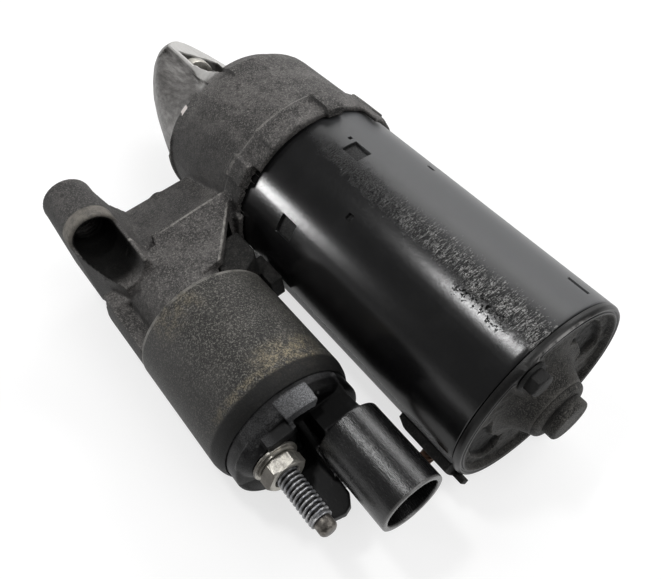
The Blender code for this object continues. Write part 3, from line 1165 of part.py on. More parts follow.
def grommet_and_lead():
    arcs = GROMMET_ARC / 2 - math.degrees(FIT / YOKE_RADIUS)
    inner = YOKE_BORE + SLIP
    outer = YOKE_RADIUS + GROMMET_RISE
    outline = arc(outer, -arcs + 3.0, arcs - 3.0, 6) + arc(inner, arcs, -arcs, 6)
    low = [(y - 1.6 if y > YOKE_RADIUS else y, z) for y, z in outline]
    rubber = loft([at_x(low, GROMMET_FRONT), at_x(outline, GROMMET_FRONT + 4.0), at_x(outline, -FIT)])
    grommet = make("lead_grommet", turn_about_x(rubber, GROMMET_ANGLE), "rubber")
    lip = arc(outer - 0.8, 2.0, arcs - 3.0, 3) + arc(YOKE_RADIUS + RUN, arcs - 3.0, 2.0, 3)
    fuse(grommet, turn_about_x(along_x(lip, -2.0, GROMMET_TAIL), GROMMET_ANGLE))
    entry = Vector((-LEAD_ENTRY, *polar(outer, GROMMET_ANGLE)))
    outward = Vector((0.0, *polar(1.0, GROMMET_ANGLE)))
    hole = sweep([entry - outward * 3.0, entry + outward * 3.0], LEAD_RADIUS + FIT, 12)
    cut(grommet, hole)
    seat = CAP_REAR + STUD_BOSS + FIT
    motor = Vector((seat + LUG_THICKNESS / 2, SOLENOID_Y + MOTOR_STUD_Y, MOTOR_STUD_Z))
    lug = tube(seat, seat + LUG_THICKNESS, STUD_BOSS_RADIUS, STUD_RADIUS + FIT, SMALL_STEPS)
    lead = make("motor_lead", lug, "copper", (0.0, motor.y, motor.z))
    tongue = block((seat + SLIP, seat + LUG_THICKNESS - SLIP),
                   (STUD_BOSS_RADIUS - 1.5, STUD_BOSS_RADIUS + 4.5), (-2.4, 2.4))
    fuse(lead, turn_about_x(tongue, LUG_ANGLE), (0.0, motor.y, motor.z))
    # Route of the lead from the tongue of its lug to the grommet
    start = motor + Vector((1.0, *polar(STUD_BOSS_RADIUS + LEAD_RADIUS, LUG_ANGLE)))
    route = [start, start + Vector((2.5, 3.0, -1.2)), start + Vector((7.0, 7.0, -3.0)),
             entry + outward * 9.0, entry + outward * 4.0, entry - outward * 2.4]
    fuse(lead, sweep(smooth(route, 4), LEAD_RADIUS, 8))


def smooth(points, steps):
    """A smooth curve through a few route points."""
    ends = [points[0]] + list(points) + [points[-1]]
    path = []
    for a, b, c, d in zip(ends, ends[1:], ends[2:], ends[3:]):
        for i in range(steps):
            t = i / steps
            path.append(0.5 * (2 * b + (c - a) * t + (2 * a - 5 * b + 4 * c - d) * t ** 2
                               + (3 * b - a - 3 * c + d) * t ** 3))
    path.append(points[-1])
    return path


def shade(piece):
    piece.data.shade_smooth()
    piece.data.set_sharp_from_angle(angle=math.radians(SHADE_ANGLE))


def stand_on_ground(pieces):
    """Turn the assembly so yoke and solenoid rest on Z = 0, centred over the origin."""
    base = bpy.data.objects.new("starter_motor", None)
    bpy.context.collection.objects.link(base)
    base.rotation_euler[0] = TILT
    for piece in pieces:
        piece.parent = base
    bpy.context.view_layer.update()
    corners = [piece.matrix_world @ vertex.co for piece in pieces for vertex in piece.data.vertices]
    low = [min(corner[axis] for corner in corners) for axis in range(3)]
    high = [max(corner[axis] for corner in corners) for axis in range(3)]
    base.location = (-(low[0] + high[0]) / 2, -(low[1] + high[1]) / 2, -low[2])
    bpy.context.view_layer.update()


def main():
    for old in list(bpy.data.objects):
        bpy.data.objects.remove(old)
    field_frame()
    magnets()
    end_cover()
    through_bolts()
    brush_gear()
    armature()
    reduction_gear()
    planet_carrier()
    clutch_and_pinion()
    drive_housing()
    fork_lever()
    lever_seal()
    solenoid()
    terminal_cap()
    terminals()
    grommet_and_lead()
    pieces = [item for item in bpy.data.objects if item.type == "MESH"]
    for piece in pieces:
        shade(piece)
    stand_on_ground(pieces)


main()
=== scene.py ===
"""Looks of the starter motor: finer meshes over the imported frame, worn finishes, studio light and camera.

Shapes are made in millimetres in the motor's own frame: X along the motor axis with 0 at the rear edge
of the yoke and +X to the rear cover, the solenoid beside the motor at -Y. MOTOR turns them into the row
frame.
"""
import json
import math

import bmesh
import bpy
from mathutils import Matrix, Vector, noise


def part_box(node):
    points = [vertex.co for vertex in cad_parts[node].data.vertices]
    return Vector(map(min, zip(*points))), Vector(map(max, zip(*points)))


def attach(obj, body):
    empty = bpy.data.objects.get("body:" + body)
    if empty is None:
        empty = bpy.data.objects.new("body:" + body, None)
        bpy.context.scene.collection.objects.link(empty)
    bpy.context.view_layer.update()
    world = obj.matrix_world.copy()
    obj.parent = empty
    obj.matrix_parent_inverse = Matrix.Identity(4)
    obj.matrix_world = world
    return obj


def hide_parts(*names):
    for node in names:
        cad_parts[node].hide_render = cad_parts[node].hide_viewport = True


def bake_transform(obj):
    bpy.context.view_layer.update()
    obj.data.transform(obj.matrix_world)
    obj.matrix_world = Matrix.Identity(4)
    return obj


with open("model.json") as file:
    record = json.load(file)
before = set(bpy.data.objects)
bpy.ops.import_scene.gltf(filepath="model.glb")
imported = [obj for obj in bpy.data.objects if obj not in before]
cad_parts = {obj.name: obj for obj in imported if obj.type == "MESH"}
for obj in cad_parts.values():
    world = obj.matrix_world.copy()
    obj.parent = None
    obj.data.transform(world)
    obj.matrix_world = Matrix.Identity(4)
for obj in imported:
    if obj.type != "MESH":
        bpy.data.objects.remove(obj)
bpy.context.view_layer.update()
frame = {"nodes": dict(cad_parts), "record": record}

MM = 0.001


def middle_of(node):
    """Middle of a CAD node's box in the row frame."""
    low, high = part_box(node)
    return (low + high) / 2


yoke_low, yoke_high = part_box("field_frame")
motor_axis = middle_of("field_frame")
solenoid_axis = middle_of("solenoid_can")
TILT = math.atan2(motor_axis.z - solenoid_axis.z, motor_axis.y - solenoid_axis.y)
MOTOR = (Matrix.Translation((yoke_high.x, motor_axis.y, motor_axis.z))
         @ Matrix.Rotation(TILT, 4, "X") @ Matrix.Scale(MM, 4))
TO_MOTOR = MOTOR.inverted()


def span(node):
    """Lowest and highest corner of a CAD node in the motor's frame, in millimetres."""
    points = [TO_MOTOR @ vertex.co for vertex in frame["nodes"][node].data.vertices]
    low = Vector([min(point[axis] for point in points) for axis in range(3)])
    high = Vector([max(point[axis] for point in points) for axis in range(3)])
    return low, high


# Camera of the photograph, in the motor's frame
CAMERA_AT = Vector((55.2, -107.6, 220.4))
CAMERA_TARGET = Vector((-63.3, -35.8, 24.4))
CAMERA_ROLL = 8.13
CAMERA_LENS = 38.64
CAMERA_SENSOR = 36.0

# Facets
FINE = 128
MEDIUM = 72
SHADE_ANGLE = 38.0

# Yoke
YOKE_RADIUS = (yoke_high.z - yoke_low.z) / 2 / MM
YOKE_WALL = 3.0
YOKE_ROUNDING = 0.7
DIMPLE_DEPTH = 1.2
DIMPLE_EDGE = 0.35
GROMMET_ANGLE = 202.0
GROMMET_HALF_ARC = 13.45
GROMMET_FRONT = -25.3
YOKE_ROWS = 60
YOKE_COLUMNS = 120
# Pressed dimples: place along X, angle, length along X and width around the tube
DIMPLES = ((-97.5, 83.5, 9.0, 6.8), (-97.0, 144.0, 8.4, 8.2), (-76.8, 114.7, 2.7, 2.6),
           (-104.7, 79.3, 1.6, 1.6), (-78.7, 51.3, 3.4, 2.0), (-8.7, 53.8, 8.4, 2.0))

# Threads and fasteners
STUD_RADIUS = 4.0
STUD_PITCH = 1.6
THREAD_DEPTH = 0.75
STUD_POINT = 4.5
MOTOR_STUD_POINT = 0.6
STUD_STEPS = 40
ROWS_PER_PITCH = 8
NUT_FLATS = 13.0
BOLT_HEAD_FLATS = 8.0
BOLT_FLANGE_RADIUS = 5.7
BOLT_FLANGE = 1.2
SPRING_WASHER_RADIUS = 7.0
SPRING_WASHER_STEPS = 60

# Springs
COIL_POINTS = 20

# Lead
STRANDS = 8
STRAND_RADIUS = 0.85
STRAND_CIRCLE = 1.85
STRAND_LAY = 16.0
LEAD_ENTRY = 10.0
LUG_ANGLE = -20.0
LUG_RADIUS = 7.4
LUG_SHEET = 1.6

# Housing
DRUM_RADIUS = 38.6
COLLAR_RIDGE = -130.9
NOSE_REAR = -176.5
NOSE_RIM = 17.4
NOSE_EASE = 7.0
NOSE_REACH = 41.5
SWELL_FRONT = -212.0
SWELL_REAR = -158.0
FULL_SIDE = 97.0
HUMP_FROM = 112.0
HUMP_TO = 172.0
COLLAR_ROOT = 38.9
WINDOW_ANGLE = 48.0
WINDOW_FLAT = 10.0
EYE_OUT = 15.0
EYE_UP = 25.0
EYE_RADIUS = 9.7
EYE_BORE = 5.6
EYE_FRONT = -165.0
EYE_MOUTH = -144.0
EYE_PITCH = 1.75
EYE_THREAD = 0.7
EYE_THREAD_INSET = 1.2
EYE_THREAD_SHORT = 3.6
EYE_THREAD_STEPS = 48
EYE_ROOF = -139.6
EYE_COUNTERBORE = 7.7
FORK_ROOM = (-147.0, -137.0)
FORK_WALL = -35.05
FORK_SIDE = 15.9
SEAT_PLATE = ((-128.4, -70.6), (-130.2, -59.4), (-131.1, -37.6), (-121.8, -41.0), (-103.9, -55.6),
              (-102.5, -63.0), (-103.5, -69.6))

# Rear cover
COVER_RIM = 2.9
COVER_FACE = 1.0
BOLT_ANGLE = 112.0
BOLT_CIRCLE = 31.5
BOSS_RADIUS = 12.0
FLARE_RADIUS = 20.5
KNOB_RADIUS = 8.4
BOSS_ROUNDING = 2.4
KNOB_ROUNDING = 1.3
KNOB_RISE = 1.6
KNOB_HEIGHT = 4.4
POCKET_DEPTH = 2.2

# Terminal cap
CAP_RADIUS = 24.6
CAP_REAR = -36.0
CAP_END = 5.5
SHROUD_OUT = 13.0
SHROUD_UP = 7.0
SHROUD_FRONT = -26.6

# Studio
FLOOR_SIZE = 4.0
FLOOR_GREY = 0.34
FLOOR_GLOW = 0.70
SKY = 0.16


def spot(x, reach, turn, centre=(0.0, 0.0)):
    """A point at a distance and an angle from an axis along X."""
    return x, centre[0] + reach * math.cos(turn), centre[1] + reach * math.sin(turn)


def ring(x, radius, steps, centre=(0.0, 0.0)):
    """Points of a circle square to X; radius may be a function of the angle."""
    points = []
    for i in range(steps):
        turn = math.tau * i / steps
        reach = radius(turn) if callable(radius) else radius
        points.append(spot(x, reach, turn, centre))
    return points


def stack(pairs, steps, centre=(0.0, 0.0)):
    """Circles for a row of (x, radius) pairs."""
    return [ring(x, radius, steps, centre) for x, radius in pairs]


def band(front, rear, inner, outer):
    """Section of a plain ring, as (x, radius) corners."""
    return [(front, inner), (front, outer), (rear, outer), (rear, inner)]


def loft(rings, closed=False):
    """A closed mesh through rings of equal point counts, capped at both ends or joined last to first."""
    mesh = bmesh.new()
    rows = [[mesh.verts.new(point) for point in points] for points in rings]
    pairs = list(zip(rows, rows[1:]))
    if closed:
        pairs.append((rows[-1], rows[0]))
    else:
        mesh.faces.new(rows[0])
        mesh.faces.new(rows[-1])
    for near, far in pairs:
        for i in range(len(near)):
            j = (i + 1) % len(near)
            mesh.faces.new((near[i], near[j], far[j], far[i]))
    bmesh.ops.recalc_face_normals(mesh, faces=mesh.faces)
    return mesh


def rounded(profile, radius, closed=False, steps=4):
    """A profile of (x, radius) points with each corner drawn as a small curve."""
    points = [Vector(point) for point in profile]
    result = []
    for i, corner in enumerate(points):
        if not closed and i in (0, len(points) - 1):
            result.append(tuple(corner))
            continue
        before = points[i - 1] - corner
        after = points[(i + 1) % len(points)] - corner
        start = corner + before.normalized() * min(radius, before.length * 0.45)
        stop = corner + after.normalized() * min(radius, after.length * 0.45)
        for k in range(steps + 1):
            t = k / steps
            point = start * (1 - t) ** 2 + corner * 2 * t * (1 - t) + stop * t ** 2
            result.append(tuple(point))
    return result


def turned(profile, steps=FINE, centre=(0.0, 0.0), rounding=0.3, closed=True):
    """A solid of revolution about X with rounded corners; closed profiles make a ring with a bore."""
    return loft(stack(rounded(profile, rounding, closed), steps, centre), closed)


def stored(name, mesh):
    """A working mesh turned into Blender's own data."""
    data = bpy.data.meshes.new(name)
    mesh.to_mesh(data)
    mesh.free()
    return data


def placed(name, data):
    """A new object in the scene."""
    item = bpy.data.objects.new(name, data)
    bpy.context.scene.collection.objects.link(item)
    return item


def merged(*meshes):
    """Several closed meshes as one mesh with loose shells."""
    result = bmesh.new()
    for mesh in meshes:
        data = stored("merge", mesh)
        result.from_mesh(data)
        bpy.data.meshes.remove(data)
    return result


def sweep(points, radius, sides):
    """A round tube along a path, closed at both ends."""
    path = [Vector(point) for point in points]
    side = (path[1] - path[0]).orthogonal().normalized()
    rings = []
    for i, point in enumerate(path):
        heading = (path[min(i + 1, len(path) - 1)] - path[max(i - 1, 0)]).normalized()
        side = (side - heading * side.dot(heading)).normalized()
        other = heading.cross(side)
        turns = [math.tau * k / sides for k in range(sides)]
        rings.append([tuple(point + radius * (side * math.cos(a) + other * math.sin(a))) for a in turns])
    return loft(rings)


def sector(section, start, stop, steps=48, centre=(0.0, 0.0)):
    """A closed band: a section of (x, radius) points carried round X from one angle to another."""
    rings = []
    for i in range(steps + 1):
        turn = math.radians(start + (stop - start) * i / steps)
        rings.append([spot(x, reach, turn, centre) for x, reach in section])
    return loft(rings)


def slab(outline, tops, thickness):
    """A plate over an (x, y) outline whose top height follows a function of x."""
    upper = [(x, y, tops(x)) for x, y in outline]
    lower = [(x, y, tops(x) - thickness) for x, y in outline]
    return loft([lower, upper])


def smooth_path(points, steps):
    """A curve through points, each stretch cut into steps."""
    path = [Vector(point) for point in points]
    result = []
    for i in range(len(path) - 1):
        before = path[max(i - 1, 0)]
        start = path[i]
        stop = path[i + 1]
        after = path[min(i + 2, len(path) - 1)]
        for k in range(steps):
            t = k / steps
            bend = (2 * before - 5 * start + 4 * stop - after) * t * t
            twist = (3 * start - before - 3 * stop + after) * t * t * t
            result.append((2 * start + (stop - before) * t + bend + twist) / 2)
    return result + [path[-1]]


def middle(node):
    """Middle of a CAD node across the axis."""
    low, high = span(node)
    return (low.y + high.y) / 2, (low.z + high.z) / 2


def put(name, mesh, slot, nodes, body="housing", finish=None):
    """A piece of the object that stands for CAD nodes and rides on a body."""
    mesh.transform(MOTOR)
    data = stored(name, mesh)
    piece = placed(name, data)
    data.shade_smooth()
    data.set_sharp_from_angle(angle=math.radians(SHADE_ANGLE))
    data.materials.append(FINISHES[finish or slot])
    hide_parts(*nodes)
    if body:
        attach(piece, body)
    return piece


def cad_copy(node):
    """A CAD node's mesh in the motor's frame with its split vertices joined."""
    mesh = bmesh.new()
    mesh.from_mesh(frame["nodes"][node].data)
    mesh.transform(TO_MOTOR)
    bmesh.ops.remove_doubles(mesh, verts=mesh.verts, dist=1e-3)
    return mesh


def with_modifiers(mesh, *settings):
    """The mesh after a row of modifiers, each a (kind, values) pair."""
    data = stored("shape", mesh)
    shape = placed("shape", data)
    for kind, values in settings:
        modifier = shape.modifiers.new(kind, kind)
        for key, value in values.items():
            setattr(modifier, key, value)
    graph = bpy.context.evaluated_depsgraph_get()
    result = bmesh.new()
    result.from_mesh(shape.evaluated_get(graph).to_mesh())
    bpy.data.objects.remove(shape)
    bpy.data.meshes.remove(data)
    return result


def softened(mesh, voxel, passes):
    """A mesh, its loose shells fused, with every edge drawn round as in a casting or moulding."""
    remesh = ("REMESH", {"mode": "VOXEL", "voxel_size": voxel})
    smooth = ("SMOOTH", {"factor": 0.5, "iterations": passes})
    return with_modifiers(mesh, remesh, smooth)


def carved(mesh, cutter):
    """A closed mesh with another one cut away from it."""
    data = stored("cutter", cutter)
    tool = placed("cutter", data)
    values = {"operation": "DIFFERENCE", "solver": "EXACT", "object": tool}
    result = with_modifiers(mesh, ("BOOLEAN", values))
    bpy.data.objects.remove(tool)
    bpy.data.meshes.remove(data)
    return result


def bevelled(mesh, width, segments=2):
    """A mesh with its sharp edges broken."""
    bmesh.ops.dissolve_limit(mesh, angle_limit=math.radians(1.0), verts=mesh.verts, edges=mesh.edges)
    values = {"width": width, "segments": segments, "limit_method": "ANGLE",
              "angle_limit": math.radians(SHADE_ANGLE), "use_clamp_overlap": True}
    return with_modifiers(mesh, ("BEVEL", values))


class Finish:
    """A procedural material whose textures are laid out in millimetres in the motor's frame."""

    def __init__(self, name):
        self.material = bpy.data.materials.new(name)
        self.material.use_nodes = True
        self.tree = self.material.node_tree
        self.shader = self.tree.nodes["Principled BSDF"]
        layout = {"Vector": self.add("ShaderNodeTexCoord").outputs["Object"], "Location": MOTOR.translation,
                  "Rotation": (TILT, 0.0, 0.0), "Scale": (MM, MM, MM)}
        self.place = self.add("ShaderNodeMapping", layout, vector_type="TEXTURE").outputs["Vector"]

    def add(self, kind, inputs=None, **settings):
        """A new node with its settings made and its inputs linked or set."""
        node = self.tree.nodes.new(kind)
        for key, value in settings.items():
            setattr(node, key, value)
        for key, value in (inputs or {}).items():
            self.join(value, node.inputs[key])
        return node

    def join(self, value, socket):
        """Link a socket, or set a plain value on it."""
        if isinstance(value, bpy.types.NodeSocket):
            self.tree.links.new(value, socket)
        else:
            socket.default_value = value

    def stretched(self, stretch):
        """Coordinates drawn out by a factor along each axis."""
        return self.add("ShaderNodeVectorMath", {0: self.place, 1: stretch}, operation="DIVIDE").outputs[0]

    def noise(self, size, detail=4.0, roughness=0.6, stretch=None, seed=0.0):
        """Noise from 0 to 1 with features of about this size in millimetres."""
        place = self.stretched(stretch) if stretch else self.place
        inputs = {"Vector": place, "W": seed, "Scale": 1.0 / size, "Detail": detail, "Roughness": roughness}
        return self.add("ShaderNodeTexNoise", inputs, noise_dimensions="4D").outputs["Fac"]

    def cells(self, size):
        """Distance to scattered points, about this far apart in millimetres."""
        return self.add("ShaderNodeTexVoronoi", {0: self.place, "Scale": 1.0 / size}).outputs["Distance"]

    def ramp(self, value, low, high):
        """0 below low, 1 above high and smooth between them; low may be the larger one."""
        inputs = {"Value": value, "From Min": low, "From Max": high}
        return self.add("ShaderNodeMapRange", inputs, interpolation_type="SMOOTHSTEP").outputs["Result"]

    def spread(self, value, low, high):
        """A 0 to 1 value spread between two numbers."""
        inputs = {"Value": value, "To Min": low, "To Max": high}
        return self.add("ShaderNodeMapRange", inputs).outputs["Result"]

    def calc(self, operation, first, second=0.0):
        return self.add("ShaderNodeMath", {0: first, 1: second}, operation=operation).outputs[0]

    def fold(self, operation, values):
        """Several values taken together, from the first to the last."""
        result = values[0]
        for value in values[1:]:
            result = self.calc(operation, result, value)
        return result

    def times(self, *values):
        return self.fold("MULTIPLY", values)

    def total(self, *values):
        return self.fold("ADD", values)

    def most(self, *values):
        return self.fold("MAXIMUM", values)

    def less(self, first, second):
        return self.calc("SUBTRACT", first, second)

    def over(self, base, tint, *masks):
        """A colour with another one laid over it where all the masks let it through."""
        return self.mix(self.times(*masks), base, tint)

    def mix(self, share, first, second):
        """One colour fading into another."""
        inputs = {"Factor": share, 6: colour(first), 7: colour(second)}
        return self.add("ShaderNodeMix", inputs, data_type="RGBA").outputs[2]

    def blend(self, share, first, second):
        """One number fading into another."""
        return self.add("ShaderNodeMix", {0: share, 2: first, 3: second}, data_type="FLOAT").outputs[0]

    def axis(self, name):
        """One coordinate in millimetres."""
        return self.add("ShaderNodeSeparateXYZ", {0: self.place}).outputs[name]

    def surface(self, name):
        """A property of the surface, such as its normal."""
        return self.add("ShaderNodeNewGeometry").outputs[name]

    def off_axis(self, centre):
        """Distance from an axis along X, in millimetres."""
        up = self.less(self.axis("Z"), centre[1])
        side = self.less(self.axis("Y"), centre[0])
        return self.calc("SQRT", self.total(self.times(up, up), self.times(side, side)))

    def around(self, centre=(0.0, 0.0)):
        """Angle about an axis along X, in degrees from +Y towards +Z."""
        up = self.less(self.axis("Z"), centre[1])
        side = self.less(self.axis("Y"), centre[0])
        return self.calc("DEGREES", self.calc("ARCTAN2", up, side))

    def facing(self, direction):
        """Cosine between the surface normal and a direction in the row frame."""
        inputs = {0: self.surface("Normal"), 1: Vector(direction).normalized()}
        return self.add("ShaderNodeVectorMath", inputs, operation="DOT_PRODUCT").outputs["Value"]

    def line(self, start, stop):
        """Signed distance in plan from the line through two (x, y) points, in millimetres."""
        run = Vector(stop) - Vector(start)
        across = (-run.y / run.length, run.x / run.length)
        offset = across[0] * start[0] + across[1] * start[1]
        along = self.times(self.axis("X"), across[0])
        aside = self.times(self.axis("Y"), across[1])
        return self.less(self.total(along, aside), offset)

    def edges(self, low=0.505, high=0.56):
        """1 on raised edges."""
        return self.ramp(self.surface("Pointiness"), low, high)

    def hollows(self, low=0.495, high=0.44):
        """1 in creases."""
        return self.ramp(self.surface("Pointiness"), low, high)

    def near(self, value, centre, half, fade):
        """1 where a value lies within half of the centre, fading out past it."""
        off = self.calc("ABSOLUTE", self.less(value, centre))
        return self.ramp(off, half + fade, half)

    def bump(self, *layers):
        """Stack of (height, depth in millimetres) relief layers."""
        inputs = {"Strength": 1.0}
        for height, depth in layers:
            inputs.update({"Height": height, "Distance": self.times(depth, MM)})
            inputs["Normal"] = self.add("ShaderNodeBump", inputs).outputs["Normal"]
        self.join(inputs["Normal"], self.shader.inputs["Normal"])

    def done(self, base, roughness, metallic=0.0, **others):
        """Connect the main channels and give the material."""
        self.join(colour(base), self.shader.inputs["Base Color"])
        self.join(roughness, self.shader.inputs["Roughness"])
        self.join(metallic, self.shader.inputs["Metallic"])
        for key, value in others.items():
            self.join(value, self.shader.inputs[key.replace("_", " ")])
        return self.material


def colour(value):
    """A grey or an RGB triple as the four numbers a colour socket takes; sockets pass through."""
    if isinstance(value, bpy.types.NodeSocket):
        return value
    if isinstance(value, (int, float)):
        return (value, value, value, 1.0)
    return (*value, 1.0)


def cast_aluminium():
    """Grimy casting, scoured bright on the nose and rubbed bare along its edges."""
    look = Finish("cast_aluminium")
    along = look.axis("X")
    angle = look.around()
    off = look.off_axis((0.0, 0.0))
    grain = look.noise(0.62, 3.0, 0.8)
    blotch = look.noise(11.0, 5.0, 0.65, seed=3.0)
    body = look.mix(look.ramp(blotch, 0.36, 0.66), (0.034, 0.0325, 0.032), (0.112, 0.106, 0.102))
    body = look.over(body, (0.235, 0.222, 0.210), look.ramp(grain, 0.49, 0.60), 0.78)
    pores = look.times(look.ramp(look.noise(0.9, 4.0, 0.8, seed=12.0), 0.52, 0.60), 0.62)
    body = look.mix(pores, body, (0.016, 0.0155, 0.015))
    soot = look.times(look.ramp(look.noise(2.2, 5.0, 0.75, seed=8.0), 0.50, 0.66), 0.62)
    body = look.mix(soot, body, (0.012, 0.0115, 0.011))
    # Darker on the sloping arm below the eye: partly oily grime, partly painted shade of its slope
    grime_and_shade = look.times(look.near(along, -148.0, 14.0, 4.0), look.ramp(look.axis("Y"), -38.0, -46.0))
    body = look.over(body, (0.026, 0.025, 0.025), grime_and_shade, 0.35)
    # Scoured nose, palest on the flat round the pinion window, fading into the grime of the drum
    streaks = look.noise(3.4, 5.0, 0.65, stretch=(1.6, 0.5, 1.0), seed=5.0)
    bright = look.mix(look.ramp(streaks, 0.34, 0.68), (0.095, 0.090, 0.086), (0.225, 0.218, 0.211))
    up = look.times(look.axis("Z"), math.sin(math.radians(WINDOW_ANGLE)))
    flat_height = look.total(look.times(look.axis("Y"), math.cos(math.radians(WINDOW_ANGLE))), up)
    flat = look.ramp(flat_height, WINDOW_FLAT - 1.2, WINDOW_FLAT - 0.3)
    bright = look.over(bright, (0.62, 0.61, 0.59), flat, look.spread(streaks, 0.55, 1.0))
    fade = look.total(along, look.spread(look.noise(8.0, 5.0, 0.65, seed=2.0), -13.0, 13.0))
    lipped = look.times(look.ramp(along, NOSE_REAR - 1.6, NOSE_REAR - 3.0), look.ramp(angle, 126.0, 134.0))
    nose = look.most(look.ramp(fade, -176.0, -192.0), lipped)
    # Painted shade: darker on faces turned towards -Y and downwards
    shaded = look.times(look.ramp(look.facing((0.0, -1.0, -0.25)), 0.25, 0.85), 0.62)
    body = look.mix(shaded, body, (0.018, 0.0175, 0.017))
    base = look.mix(nose, body, bright)
    chip = look.times(look.near(along, -177.6, 1.7, 0.5), look.near(angle, 137.0, 2.6, 0.7))
    base = look.mix(chip, base, (0.72, 0.66, 0.64))
    # Rubbed edges: the ridge of the collar, the seat plate, the lip and whatever else stands proud
    broken = look.ramp(look.noise(2.6, 5.0, 0.75, seed=6.0), 0.38, 0.60)
    ridge = look.times(look.near(along, COLLAR_RIDGE, 0.5, 0.5), look.ramp(off, 40.7, 41.4),
                       look.near(angle, 108.0, 33.0, 3.0))
    roof = look.ramp(look.axis("Z"), 18.6, 19.4)
    left_edge = look.near(look.line(SEAT_PLATE[1], SEAT_PLATE[2]), -0.3, 0.35, 0.4)
    right_edge = look.near(look.line(SEAT_PLATE[3], SEAT_PLATE[4]), -0.3, 0.45, 0.4)
    on_plate = look.times(look.ramp(along, -134.0, -132.0), look.ramp(look.axis("Y"), -37.5, -39.0))
    plate = look.times(roof, look.most(left_edge, right_edge), on_plate)
    rubbed = look.most(look.edges(0.53, 0.61), look.times(ridge, 0.6), plate)
    base = look.over(base, (0.36, 0.345, 0.32), rubbed, broken, 0.7)
    # Turned roof over the mouth of the eye, and painted shade in the trough behind it
    eye = middle("solenoid_can")
    eye_off = look.off_axis((eye[0] - EYE_OUT, eye[1] + EYE_UP))
    mouth = look.times(look.near(along, EYE_ROOF - 2.3, 2.7, 0.7), look.near(eye_off, 9.6, 0.9, 0.4),
                       look.ramp(look.axis("Z"), 24.0, 29.0))
    base = look.over(base, (0.215, 0.198, 0.172), mouth, look.spread(broken, 0.35, 0.8))
    base = look.over(base, (0.008, 0.008, 0.0075), look.hollows(0.48, 0.42), 0.85)
    # Painted shade: near black down in the trough, with its shine turned down
    trough = look.times(look.ramp(eye_off, 9.0, 8.1), look.ramp(along, -151.0, -147.0),
                        look.ramp(along, -116.0, -124.0))
    base = look.over(base, (0.004, 0.004, 0.0038), trough, 0.95)
    rough = look.blend(nose, look.spread(grain, 0.55, 0.85), look.spread(streaks, 0.36, 0.56))
    metal = look.blend(nose, 0.25, 0.45)
    look.bump((grain, look.blend(nose, 0.30, 0.12)),
              (look.noise(2.6, 4.0, 0.6, seed=4.0), look.blend(nose, 0.30, 0.06)))
    return look.done(base, rough, metal, Specular_IOR_Level=look.spread(trough, 0.45, 0.08))


